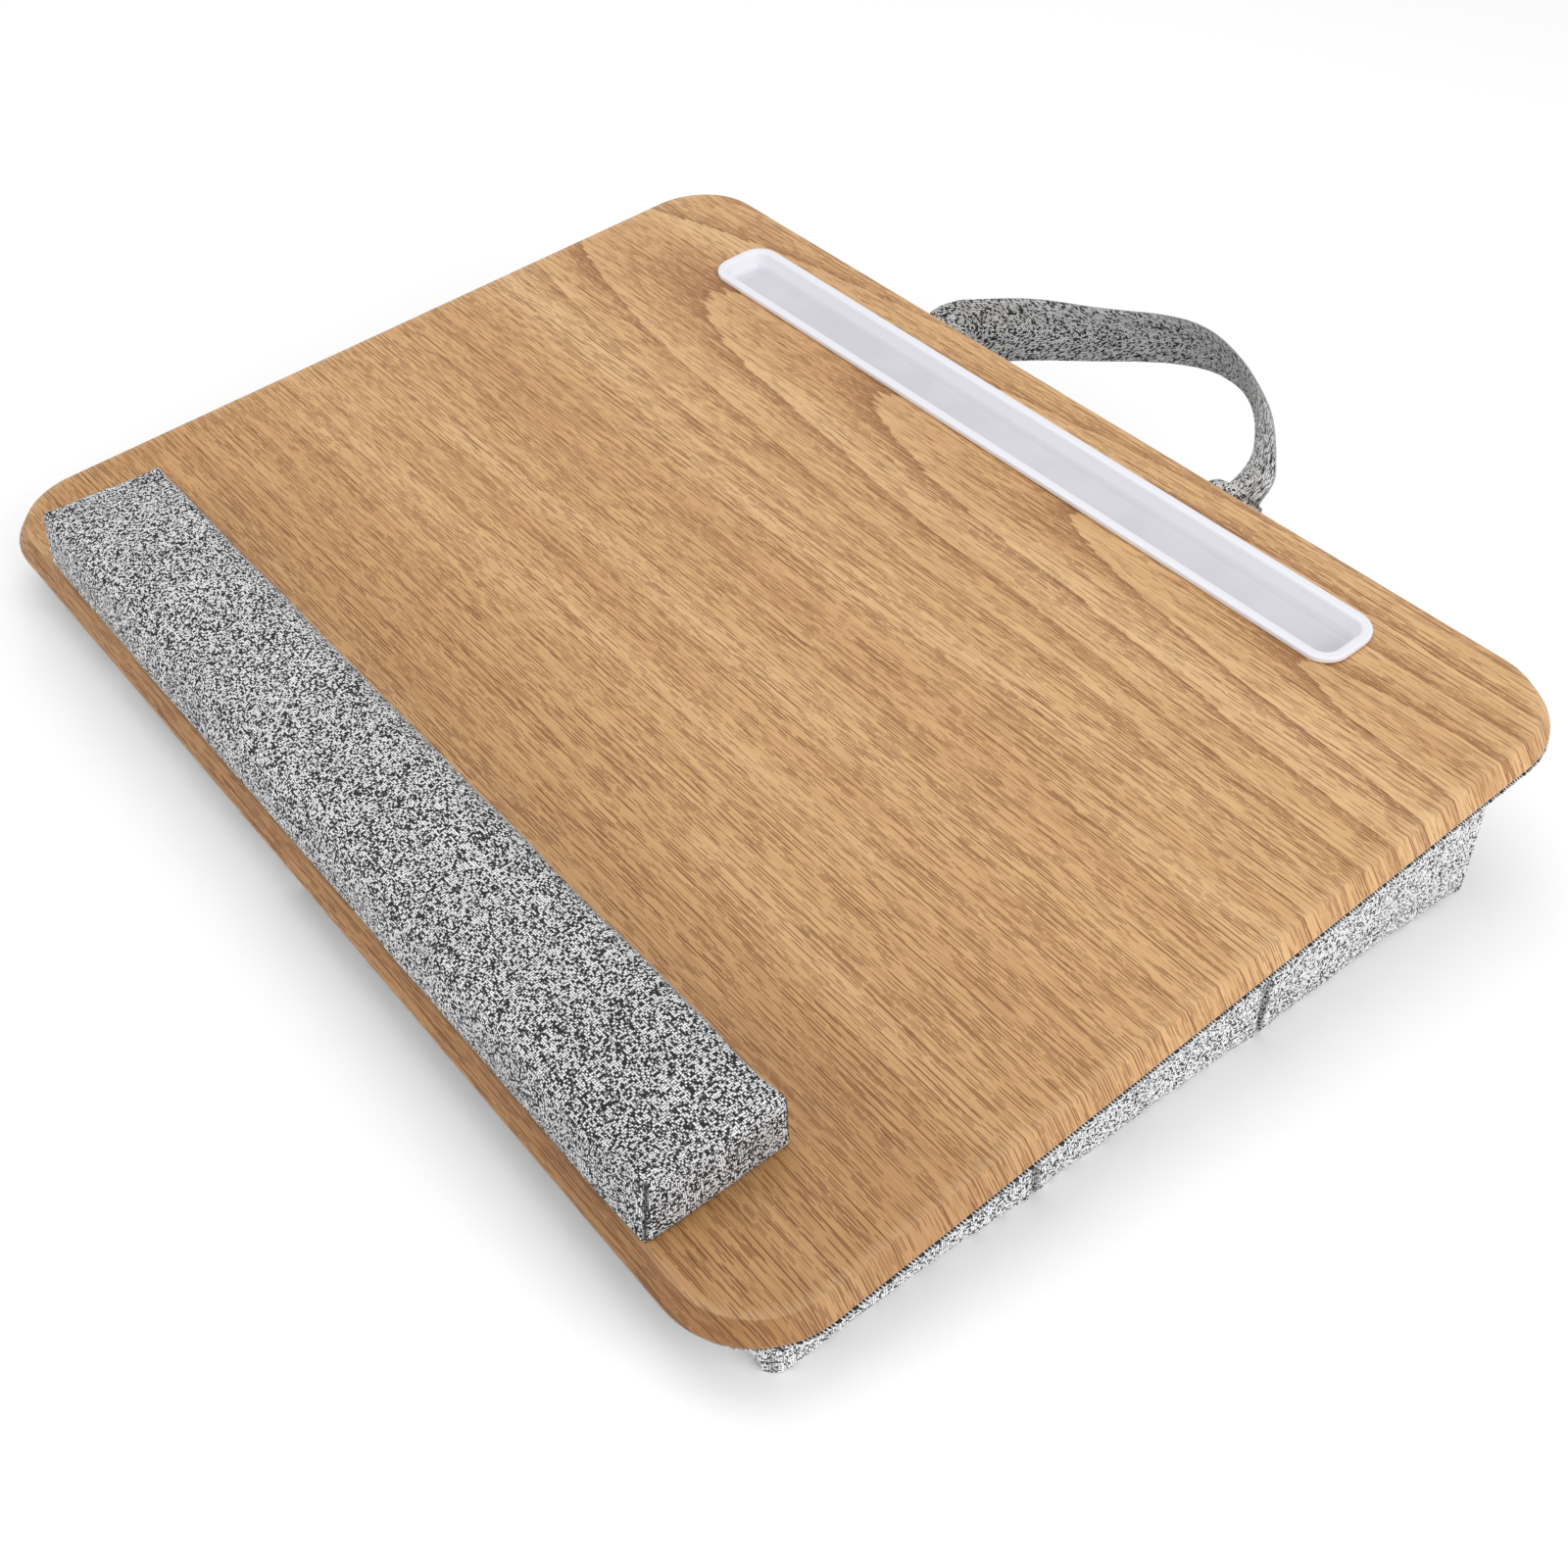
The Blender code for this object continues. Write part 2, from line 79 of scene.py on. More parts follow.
def insetRing(form, inset, steps):
    # Points round a rectangle with round corners, drawn in by the inset
    width, depth = form["width"] - 2 * inset, form["depth"] - 2 * inset
    radius = max(form["cornerRadius"] - inset, 0.0002)
    points = []
    for quarter, (sideX, sideY) in enumerate(((1, 1), (-1, 1), (-1, -1), (1, -1))):
        for step in range(steps + 1):
            turn = math.pi / 2 * (quarter + step / steps)
            points.append((
                form["middle"][0] + sideX * (width / 2 - radius) + radius * math.cos(turn),
                form["middle"][1] + sideY * (depth / 2 - radius) + radius * math.sin(turn),
            ))
    return points


def roundProfile(points, radii, steps=5):
    # Rounds the corners of an (inset, height) line; returns (inset, height, run along it)
    line = [Vector(points[0])]
    for before, here, after, radius in zip(points, points[1:], points[2:], radii):
        here = Vector(here)
        back, on = Vector(before) - here, Vector(after) - here
        reach = min(radius, back.length * 0.45, on.length * 0.45)
        start, end = here + back.normalized() * reach, here + on.normalized() * reach
        for step in range(steps + 1):
            t = step / steps
            line.append(start * (1 - t) ** 2 + here * 2 * t * (1 - t) + end * t ** 2)
    line.append(Vector(points[-1]))
    run = 0.0
    out = [(*line[0], 0.0)]
    for a, b in zip(line, line[1:]):
        run += (b - a).length
        out.append((*b, run))
    return out


def pairsRound(line):
    return zip(line, line[1:] + line[:1])


def bridge(bm, rings):
    for low, high in zip(rings, rings[1:]):
        for (a, b), (d, c) in zip(pairsRound(low), pairsRound(high)):
            bm.faces.new((a, b, c, d))


def layWeave(bm, placeOf):
    # Lays the weave's threads on cloth without seams
    weave = bm.loops.layers.uv.new("weave")
    seam = bm.loops.layers.uv.new("seam")
    for face in bm.faces:
        for corner in face.loops:
            corner[weave].uv = placeOf(corner.vert)
            corner[seam].uv = (farFromSeam, 0.0)


def objectFrom(name, bm):
    mesh = bpy.data.meshes.new(name)
    bm.to_mesh(mesh)
    bm.free()
    item = bpy.data.objects.new(name, mesh)
    scene.collection.objects.link(item)
    return item


def solidFrom(name, bm):
    # Turns the faces outwards first
    bm.normal_update()
    bmesh.ops.recalc_face_normals(bm, faces=bm.faces)
    return objectFrom(name, bm)


def plainMesh(item):
    # The evaluated shape as a plain mesh, with the modifiers taken off
    graph = bpy.context.evaluated_depsgraph_get()
    mesh = bpy.data.meshes.new_from_object(item.evaluated_get(graph), depsgraph=graph)
    item.modifiers.clear()
    old, item.data = item.data, mesh
    bpy.data.meshes.remove(old)


def paint(item, material):
    item.data.materials.clear()
    item.data.materials.append(material)


def dress(item, material, body="desk", replaced=(), sharpAngle=None):
    # Places a finished piece, gives it its material, and ties it to its body
    item.data.transform(deskPlace)
    paint(item, material)
    item.data.shade_smooth()
    if sharpAngle:
        item.data.set_sharp_from_angle(angle=math.radians(sharpAngle))
    if body:
        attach(item, body)
    if replaced:
        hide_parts(*replaced)


# Node helpers

def feed(tree, value, socket):
    # A plain value is set, an output is linked, and a node stands for its first output
    if isinstance(value, bpy.types.Node):
        value = value.outputs[0]
    if isinstance(value, bpy.types.NodeSocket):
        tree.links.new(value, socket)
    else:
        socket.default_value = value


def addNode(tree, kind, inputs=None, **settings):
    node = tree.nodes.new(kind)
    for key, value in settings.items():
        setattr(node, key, value)
    for key, value in (inputs or {}).items():
        feed(tree, value, node.inputs[key])
    return node


def calc(tree, operation, *values):
    return addNode(tree, "ShaderNodeMath", dict(enumerate(values)), operation=operation)


def times(tree, first, second):
    return calc(tree, "MULTIPLY", first, second)


def mapped(tree, value, fromMin, fromMax, toMin=0.0, toMax=1.0, kind="LINEAR"):
    return addNode(tree, "ShaderNodeMapRange", {
        "Value": value, "From Min": fromMin, "From Max": fromMax, "To Min": toMin, "To Max": toMax,
    }, interpolation_type=kind)


def vectorCalc(tree, operation, *values):
    return addNode(tree, "ShaderNodeVectorMath", dict(enumerate(values)), operation=operation)


def vectorOf(tree, x, y, z):
    return addNode(tree, "ShaderNodeCombineXYZ", {0: x, 1: y, 2: z})


def split(tree, vector):
    # A vector's x and y
    return addNode(tree, "ShaderNodeSeparateXYZ", {0: vector}).outputs[:2]


def mixColour(tree, share, first, second, blend="MIX"):
    sockets = {0: share}
    for index, value in ((6, first), (7, second)):
        sockets[index] = (*value, 1.0) if isinstance(value, tuple) else value
    return addNode(tree, "ShaderNodeMix", sockets, data_type="RGBA", blend_type=blend).outputs[2]


def rampOf(tree, factor, stops):
    node = addNode(tree, "ShaderNodeValToRGB", {"Fac": factor})
    elements = node.color_ramp.elements
    while len(elements) < len(stops):
        elements.new(0.5)
    for element, (place, colour) in zip(elements, stops):
        element.position = place
        element.color = (*colour, 1.0)
    return node


def noiseAt(tree, vector, scale, detail=2.0, roughness=0.5, output=0):
    return addNode(tree, "ShaderNodeTexNoise", {
        "Vector": vector, "Scale": scale, "Detail": detail, "Roughness": roughness,
    }).outputs[output]


def streaks(tree, vector, scales, detail, roughness=0.5, place=(0.0, 0.0, 0.0)):
    # Noise drawn out along one way
    spot = addNode(tree, "ShaderNodeMapping", {"Vector": vector, "Scale": (*scales, 1.0), "Location": place})
    return noiseAt(tree, spot, 1.0, detail, roughness)


def uvOf(tree, name):
    return addNode(tree, "ShaderNodeUVMap", uv_map=name)


def shareOf(tree, name):
    return addNode(tree, "ShaderNodeAttribute", attribute_name=name).outputs["Fac"]


def placeIn(tree):
    return addNode(tree, "ShaderNodeTexCoord").outputs["Object"]


def newMaterial(name, roughness, specular):
    material = bpy.data.materials.new(name)
    material.use_nodes = True
    shader = material.node_tree.nodes["Principled BSDF"]
    shader.inputs["Roughness"].default_value = roughness
    shader.inputs["Specular IOR Level"].default_value = specular
    return material, material.node_tree, shader


def coat(tree, shader, colour, height, strength, distance):
    # Colour and relief into the shader
    bump = addNode(tree, "ShaderNodeBump", {"Height": height, "Strength": strength, "Distance": distance})
    feed(tree, colour, shader.inputs["Base Color"])
    feed(tree, bump, shader.inputs["Normal"])


# Materials

oakLook = {
    "gold": (0.574, 0.334, 0.143),
    "pale": (0.666, 0.423, 0.210),
    "rose": (0.525, 0.285, 0.120),
    "ringLine": (0.335, 0.135, 0.048),
    "pore": (0.215, 0.088, 0.032),
    "creaseHighlightColour": (0.80, 0.60, 0.38),
    "fibres": ((0.30, (0.72, 0.62, 0.52)), (0.50, (1.0, 1.0, 1.0)), (0.70, (1.12, 1.15, 1.18))),
    "heartLine": 0.286,
    "heartX": 0.235,
    "taper": 0.125,
    "wander": 0.03,
    "fray": 0.004,
    "ringPitch": 0.0125,
    "fineRings": 6.0,
    "drift": 0.0022,
    # Row pitch, dash length and line width as a share of the pitch
    "dashes": ((0.00054, 0.0056, 0.40), (0.00096, 0.0130, 0.29), (0.0021, 0.030, 0.16)),
    # Where the figure, the front's deeper tone and the corner's painted shade come in, from none to full
    "figureOver": (0.085, 0.022),
    "frontOver": (0.150, 0.045),
    "cornerShadeOver": (0.16, 0.02),
    "shadedCornerPoint": (0.215, 0.0, 0.0),
    # Strength and colour: the front's deeper brown, partly the wood's own tone and partly painted shade from
    # the wrist rest; painted shade on the front bevel; painted shade at the near right corner
    "frontToneAndShade": (0.8, (0.86, 0.80, 0.72)),
    "bevelPaintedShade": (0.7, (0.62, 0.54, 0.46)),
    "cornerPaintedShade": (0.6, (0.72, 0.66, 0.60)),
}


def oakMaterial(look):
    material, tree, shader = newMaterial("oakFilm", 0.45, 0.35)
    grain = uvOf(tree, "grain")
    x, y = split(tree, grain)
    # Growth rings: long arches round the heart line, open to the right, frayed by pores
    wander = streaks(tree, grain, (4.0, 7.0), 1.0, place=(0.3, 1.7, 0.0))
    away = calc(tree, "SUBTRACT", y, look["heartLine"])
    away = calc(tree, "ADD", away, times(tree, calc(tree, "SUBTRACT", wander, 0.5), look["wander"]))
    lift = times(tree, calc(tree, "SUBTRACT", x, look["heartX"]), look["taper"])
    rings = calc(tree, "SQRT", calc(tree, "ADD", times(tree, away, away), times(tree, lift, lift)))
    fray = streaks(tree, grain, (26.0, 430.0), 4.0, 0.70)
    rings = calc(tree, "ADD", rings, times(tree, fray, look["fray"]))
    turns = calc(tree, "DIVIDE", rings, look["ringPitch"])
    band = calc(tree, "FRACT", turns)
    fine = calc(tree, "FRACT", times(tree, turns, look["fineRings"]))
    fine = calc(tree, "POWER", calc(tree, "SUBTRACT", 1.0, fine), 3.0)
    near = mapped(tree, calc(tree, "ABSOLUTE", away), *look["figureOver"], 0.18, kind="SMOOTHSTEP")
    early = times(tree, calc(tree, "POWER", calc(tree, "SUBTRACT", 1.0, band), 6.0), near)
    calm = times(tree, calc(tree, "POWER", band, 1.3), near)
    # Wide tone bands, then fibres
    tone = streaks(tree, grain, (2.2, 30.0), 3.0, 0.55)
    fibre = streaks(tree, grain, (14.0, 900.0), 3.0, 0.70)
    base = rampOf(tree, tone, ((0.30, look["rose"]), (0.50, look["gold"]), (0.70, look["pale"])))
    base = mixColour(tree, times(tree, calm, 0.42), base, look["pale"])
    base = mixColour(tree, times(tree, early, 0.50), base, look["ringLine"])
    base = mixColour(tree, 0.9, base, rampOf(tree, fibre, look["fibres"]), "MULTIPLY")
    # Pores: rows of thin dark dashes, crowded where a ring starts and few in the pale arches
    figure = calc(tree, "MULTIPLY_ADD", times(tree, fine, near), 0.5, early)
    crowd = calc(tree, "MULTIPLY_ADD", figure, 0.55, calc(tree, "MULTIPLY_ADD", calm, -0.30, 0.50))
    drift = streaks(tree, grain, (9.0, 40.0), 2.0)
    pore = 0.0
    for number, (rowPitch, length, width) in enumerate(look["dashes"]):
        rows = calc(tree, "MULTIPLY_ADD", drift, look["drift"] / rowPitch, calc(tree, "DIVIDE", y, rowPitch))
        row, across = calc(tree, "FLOOR", rows), calc(tree, "FRACT", rows)
        start = addNode(tree, "ShaderNodeTexWhiteNoise", {"W": row}, noise_dimensions="1D")
        cells = calc(tree, "MULTIPLY_ADD", start, 37.0, calc(tree, "DIVIDE", x, length))
        along = calc(tree, "FRACT", cells)
        spot = vectorOf(tree, row, calc(tree, "FLOOR", cells), 3.0 + number)
        chance = addNode(tree, "ShaderNodeTexWhiteNoise", {"Vector": spot}, noise_dimensions="3D")
        depth = mapped(tree, calc(tree, "SUBTRACT", crowd, chance), 0.0, 0.35)
        line = mapped(tree, calc(tree, "ABSOLUTE", calc(tree, "SUBTRACT", across, 0.5)), width, width * 0.35)
        ends = times(tree, times(tree, along, calc(tree, "SUBTRACT", 1.0, along)), 7.0)
        dash = times(tree, times(tree, depth, line), calc(tree, "MINIMUM", ends, 1.0))
        pore = calc(tree, "MAXIMUM", pore, dash)
    base = mixColour(tree, times(tree, pore, 0.92), base, look["pore"])
    # Deeper brown at the front, the wood's own tone with painted shade from the wrist rest; painted shade on
    # the front bevel and at the near right corner
    front = mapped(tree, y, *look["frontOver"], kind="SMOOTHSTEP")
    corner = vectorCalc(tree, "DISTANCE", grain, look["shadedCornerPoint"]).outputs["Value"]
    corner = mapped(tree, corner, *look["cornerShadeOver"], kind="SMOOTHSTEP")
    bevel = shareOf(tree, "frontBevelShade")
    for share, name in ((front, "frontToneAndShade"), (bevel, "bevelPaintedShade"), (corner, "cornerPaintedShade")):
        strength, colour = look[name]
        base = mixColour(tree, times(tree, share, strength), base, colour, "MULTIPLY")
    # Painted highlight: a lighter line along the crease
    paintedLight = times(tree, shareOf(tree, "paintedCreaseHighlight"), times(tree, fibre, 0.26))
    base = mixColour(tree, paintedLight, base, look["creaseHighlightColour"])
    feed(tree, mapped(tree, pore, 0.0, 1.0, 0.43, 0.62), shader.inputs["Roughness"])
    coat(tree, shader, base, calc(tree, "SUBTRACT", times(tree, fibre, 0.25), pore), 0.25, 0.00010)
    return material


threads = {
    "sway": 1.7,  # in pitches
    "paintedHollowShade": 0.15,  # painted shade: brightness in the hollow between two threads
    # Painted shade along the corner seams: where it fades in, and its colour
    "seamShadeFade": (0.0018, 0.0007),
    "seamShadeColour": (0.02, 0.02, 0.023),
}
# light: the noise range over which a thread brightens; levels: from the darkest, in the painted-shade
# hollows, to bright thread
# paintedLight: the factor of painted light along x, reached over paintedLightOver (below 1 it is painted
# shade)
weaves = {
    "grey": {
        "pitch": (0.00076, 0.00069),
        "stroke": 1.3,
        "light": (0.540, 0.588),
        "order": 0.13,
        "paintedLight": 0.88,
        "paintedLightOver": (0.02, 0.19),
        "seam": 0.85,
        "levels": ((0.03, 0.03, 0.033), (0.33, 0.33, 0.34), (0.96, 0.96, 0.97)),
    },
    # Pods: lighter levels than the rest's cloth, painted light standing in for the light on their sides
    "pod": {
        "pitch": (0.00082, 0.00074),
        "stroke": 1.3,
        "light": (0.510, 0.552),
        "order": 0.12,
        "paintedLight": 1.0,
        "paintedLightOver": (0.0, 0.1),
        "seam": 0.40,
        "levels": ((0.04, 0.04, 0.042), (0.38, 0.38, 0.384), (1.0, 1.0, 1.0)),
    },
    "strap": {
        "pitch": (0.00084, 0.00076),
        "stroke": 1.5,
        "light": (0.504, 0.556),
        "order": 0.11,
        "paintedLight": 1.38,
        "paintedLightOver": (0.045, 0.066),
        "seam": 0.0,
        "levels": ((0.025, 0.025, 0.025), (0.21, 0.21, 0.21), (0.72, 0.72, 0.72)),
    },
}


def clothMaterial(name, look):
    pitchU, pitchV = look["pitch"]
    material, tree, shader = newMaterial(name, 0.95, 0.15)
    weave = uvOf(tree, "weave")
    # Threads that wander a little
    sway = vectorCalc(tree, "SUBTRACT", noiseAt(tree, weave, 55.0, output=1), (0.5,) * 3)
    swayed = vectorCalc(tree, "MULTIPLY_ADD", sway, (pitchU * threads["sway"],) * 3, weave)
    u, v = split(tree, vectorCalc(tree, "MULTIPLY", swayed, (1.0 / pitchU, 1.0 / pitchV, 1.0)))
    column, row = calc(tree, "FLOOR", u), calc(tree, "FLOOR", v)
    over = calc(tree, "FLOORED_MODULO", calc(tree, "ADD", column, row), 2.0)

    def strokes(thread, across, along, turn, onTop):
        # Uneven light stretches along each round thread, mostly where it lies on top
        lane = calc(tree, "MULTIPLY_ADD", thread, 7.31, turn)
        short, long = [
            noiseAt(tree, vectorOf(tree, lane, calc(tree, "DIVIDE", along, reach), turn + reach), 1.0, 1.0)
            for reach in (look["stroke"], look["stroke"] * 6.0)
        ]
        mixed = calc(tree, "MULTIPLY_ADD", long, 0.15, times(tree, short, 0.85))
        mixed = calc(tree, "MULTIPLY_ADD", calc(tree, "SUBTRACT", onTop, 0.5), look["order"], mixed)
        # Each thread is painted darker towards its edges: painted shade in the hollows between threads
        bulge = calc(tree, "SINE", times(tree, calc(tree, "FRACT", across), math.pi))
        body = mapped(tree, bulge, 0.25, 0.80, threads["paintedHollowShade"])
        return times(tree, mapped(tree, mixed, *look["light"]), body), bulge

    warp, bulgeU = strokes(column, u, v, 3.0, over)
    weft, bulgeV = strokes(row, v, u, 11.0, calc(tree, "SUBTRACT", 1.0, over))
    colour = rampOf(tree, calc(tree, "MAXIMUM", warp, weft), list(zip((0.0, 0.5, 1.0), look["levels"])))
    warpHeight = times(tree, bulgeU, calc(tree, "MULTIPLY_ADD", bulgeV, 0.35, 0.65))
    weftHeight = times(tree, bulgeV, calc(tree, "MULTIPLY_ADD", bulgeU, 0.35, 0.65))
    height = addNode(tree, "ShaderNodeMix", {0: over, 2: weftHeight, 3: warpHeight}, data_type="FLOAT")
    # Faint clouds, and painted light that changes along x: painted shade towards the right end of the rest,
    # painted light towards the right end of the strap
    cloud = calc(tree, "MULTIPLY_ADD", noiseAt(tree, weave, 28.0), 0.24, 0.88)
    paintedLight = mapped(tree, split(tree, placeIn(tree))[0], *look["paintedLightOver"], 1.0, look["paintedLight"])
    colour = mixColour(tree, 1.0, colour, times(tree, cloud, paintedLight), "MULTIPLY")
    # Painted shade: a dark line along the corner seams, standing in for the shade in their grooves
    seamShade = mapped(tree, split(tree, uvOf(tree, "seam"))[0], *threads["seamShadeFade"])
    colour = mixColour(tree, times(tree, seamShade, look["seam"]), colour, threads["seamShadeColour"])
    coat(tree, shader, colour, height, 0.7, pitchV * 0.25)
    return material


plastic = {
    # tints: mottled plastic, darkened for the painted shade of the trough; wall and rim: lighter, painted
    # light
    "tints": ((0.35, (0.560, 0.548, 0.588)), (0.65, (0.602, 0.592, 0.630))),
    "speck": (0.42, 0.40, 0.42),
    "wallLitColour": (0.84, 0.83, 0.88),
    "rim": (0.735, 0.735, 0.785),
}


def plasticMaterial(look):
    material, tree, shader = newMaterial("whitePlastic", 0.22, 0.4)
    place = placeIn(tree)
    tint = rampOf(tree, noiseAt(tree, place, 45.0, 3.0), look["tints"])
    speck = addNode(tree, "ShaderNodeTexVoronoi", {"Vector": place, "Scale": 240.0})
    tint = mixColour(tree, times(tree, mapped(tree, speck, 0.08, 0.04), 0.3), tint, look["speck"])
    # Painted light: the wall and the rim are painted lighter than the trough floor
    tint = mixColour(tree, shareOf(tree, "wallPaintedLight"), tint, look["wallLitColour"])
    tint = mixColour(tree, shareOf(tree, "rimShare"), tint, look["rim"])
    coat(tree, shader, tint, noiseAt(tree, place, 900.0), 0.05, 0.0001)
    return material


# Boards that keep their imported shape
pressedBoards = {
    "fibreboard": {
        "node": "board_core", "roughness": 0.85, "flecks": (1400.0, 4.0, 0.7), "bump": (0.4, 0.0002),
        "tones": ((0.3, (0.34, 0.22, 0.13)), (0.7, (0.56, 0.42, 0.28))),
    },
    "baseStrip": {
        "node": "wrist_base", "roughness": 0.8, "flecks": (700.0, 3.0), "bump": (0.3, 0.0001),
        "tones": ((0.3, (0.29, 0.28, 0.27)), (0.7, (0.40, 0.39, 0.38))),
    },
}


def pressedMaterial(name, look):
    material, tree, shader = newMaterial(name, look["roughness"], 0.3)
    fleck = noiseAt(tree, placeIn(tree), *look["flecks"])
    coat(tree, shader, rampOf(tree, fleck, look["tones"]), fleck, *look["bump"])
    return material


def sewingMaterial():
    material, tree, shader = newMaterial("sewingThread", 0.8, 0.3)
    twist = addNode(tree, "ShaderNodeTexWave", {"Vector": placeIn(tree), "Scale": 900.0, "Distortion": 1.5})
    twist = twist.outputs["Fac"]
    tone = rampOf(tree, twist, ((0.2, (0.010, 0.010, 0.011)), (0.8, (0.060, 0.060, 0.064))))
    coat(tree, shader, tone, twist, 0.4, 0.00005)
    return material


def threadMaterial():
    # Hem thread: dark and pale strands at random, every fifth one darker
    material, tree, shader = newMaterial("hemThread", 0.9, 0.2)
    fuzz = noiseAt(tree, placeIn(tree), 2600.0)
    tone = times(tree, calc(tree, "SUBTRACT", fuzz, 0.5), 0.25)
    tone = calc(tree, "ADD", shareOf(tree, "threadShade"), tone)
    colour = rampOf(tree, tone, (
        (0.0, (0.012, 0.012, 0.016)), (0.42, (0.05, 0.055, 0.065)),
        (0.62, (0.42, 0.43, 0.45)), (1.0, (0.80, 0.80, 0.80)),
    ))
    coat(tree, shader, colour, fuzz, 0.5, 0.0001)
    return material


oak = oakMaterial(oakLook)
greyCloth, podClothLit, strapCloth = [clothMaterial(f"{name}Cloth", look) for name, look in weaves.items()]
whitePlastic = plasticMaterial(plastic)
hemThread = threadMaterial()
sewingThread = sewingMaterial()
for boardName, boardLook in pressedBoards.items():
    paint(nodes[boardLook["node"]], pressedMaterial(boardName, boardLook))
print("materials made")


# Board: the wrapped film, with its crease, bevel and slot

film = {
    "bevelInset": 0.00405,
    "land": 0.0014,
    "thickness": 0.0004,
    "wrapUnder": 0.0006,
    "topInset": 0.008,
    "footRound": 0.00025,
    "landRound": 0.0005,
    "creaseRound": 0.0004,
    "paintedCreaseHighlight": 0.00035,
    "cornerSteps": 18,
    "slotInset": 0.001455,  # from the tray's rim to the cut in the film
}
tray = {
    "width": 0.3233,
    "depth": 0.0280,
    "middle": (-0.0007, 0.30455),
    "cornerRadius": 0.0095,
    "rimTop": 0.0022,
    "rimUnder": 0.0003,
    "rimWidth": 0.0038,
    "ledge": 0.0018,
    "draft": 0.0018,
    "floor": 0.0012,
    "flatFrom": 0.0125,
    "rounds": (0.0062, 0.0012, 0.0014, 0.0003, 0.0002, 0.0008),
}


def makeBoard():
    base = -desk["thickness"]
    points = (
        (film["wrapUnder"], base),
        (0.0, base),
        (0.0, base + film["land"]),
        (film["bevelInset"], 0.0),
        (film["topInset"], 0.0),
    )
    profile = roundProfile(points, (film["footRound"], film["landRound"], film["creaseRound"]))
    creaseRun = next(run for inset, height, run in profile if height > -1e-7)
    bm = bmesh.new()
    grain = bm.loops.layers.uv.new("grain")
    highlightLayer = bm.verts.layers.float.new("paintedCreaseHighlight")
    front = bm.verts.layers.float.new("frontBevelShade")
    rings, place = [], {}
    for inset, height, run in profile:
        ring = [bm.verts.new((x, y, height)) for x, y in insetRing(desk, inset, film["cornerSteps"])]
        rings.append(ring)
        # The grain lies as if the bevel were unrolled
        place.update(zip(ring, insetRing(desk, film["bevelInset"] + (run - creaseRun), film["cornerSteps"])))
        for vert in ring:
            # Mask of the painted crease highlight, strongest on the crease
            vert[highlightLayer] = math.exp(-((run - creaseRun) / film["paintedCreaseHighlight"]) ** 2)
            # How far the bevel faces the front: the mask for its painted shade
            outX = max(0.0, abs(vert.co.x) - desk["width"] / 2 + desk["cornerRadius"])
            forward = max(0.0, desk["cornerRadius"] - vert.co.y)
            facing = forward / max(1e-6, math.hypot(outX, forward))
            vert[front] = facing if run < creaseRun else 0.0
    bridge(bm, rings)
    slot = insetRing(tray, film["slotInset"], 10)
    slotLine = [bm.verts.new((x, y, 0.0)) for x, y in slot]
    place.update(zip(slotLine, slot))
    outer = [bm.edges.get(pair) for pair in pairsRound(rings[-1])]
    inner = [bm.edges.new(pair) for pair in pairsRound(slotLine)]
    bmesh.ops.triangle_fill(bm, edges=outer + inner, use_beauty=True, use_dissolve=False)
    for face in bm.faces:
        for corner in face.loops:
            corner[grain].uv = place[corner.vert]
    item = solidFrom("boardFilm", bm)
    if item.data.polygons[-1].normal.z < 0:
        item.data.flip_normals()
    shell = item.modifiers.new("shell", "SOLIDIFY")
    shell.thickness = film["thickness"]
    shell.offset = -1
    plainMesh(item)
    dress(item, oak, replaced=("oak_film",), sharpAngle=50)


def makeTray():
    base = -desk["thickness"]
    points = (
        (tray["flatFrom"], base + tray["floor"]),
        (tray["rimWidth"] + tray["draft"], base + tray["floor"]),
        (tray["rimWidth"], tray["rimTop"]),
        (0.0, tray["rimTop"]),
        (0.0, tray["rimUnder"]),
        (tray["ledge"], tray["rimUnder"]),
        (tray["ledge"] + tray["draft"] / 4, base),
        (tray["flatFrom"], base),
    )
    bm = bmesh.new()
    rimShare = bm.verts.layers.float.new("rimShare")
    wallPaintedLight = bm.verts.layers.float.new("wallPaintedLight")
    rings = []
    for inset, height, run in roundProfile(points, tray["rounds"]):
        ring = [bm.verts.new((x, y, height)) for x, y in insetRing(tray, inset, 16)]
        rings.append(ring)
        for vert in ring:
            # The painted light on wall and rim comes in over a short rise
            vert[rimShare] = max(0.0, min(1.0, (height - 0.0004) / 0.0012))
            vert[wallPaintedLight] = max(0.0, min(1.0, (height - base - tray["floor"]) / 0.0030))
    bridge(bm, rings)
    bm.faces.new(rings[0])
    bm.faces.new(rings[-1])
    item = solidFrom("slotTray", bm)
    dress(item, whitePlastic, replaced=("slot_tray",), sharpAngle=50)


makeBoard()
makeTray()
print("board and tray made")


# Cushions: the wrist rest and the six pods

def gridLines(reach, step, fine=(0.0009, 0.0020, 0.0034)):
    # Places from -reach to reach, closer together beside both ends
    start = reach - fine[-1]
    count = max(2, round(2 * start / step))
    inner = [-start + 2 * start * i / count for i in range(1, count)]
    ends = [reach, *(reach - f for f in fine)]
    return sorted([-e for e in ends] + inner + ends)


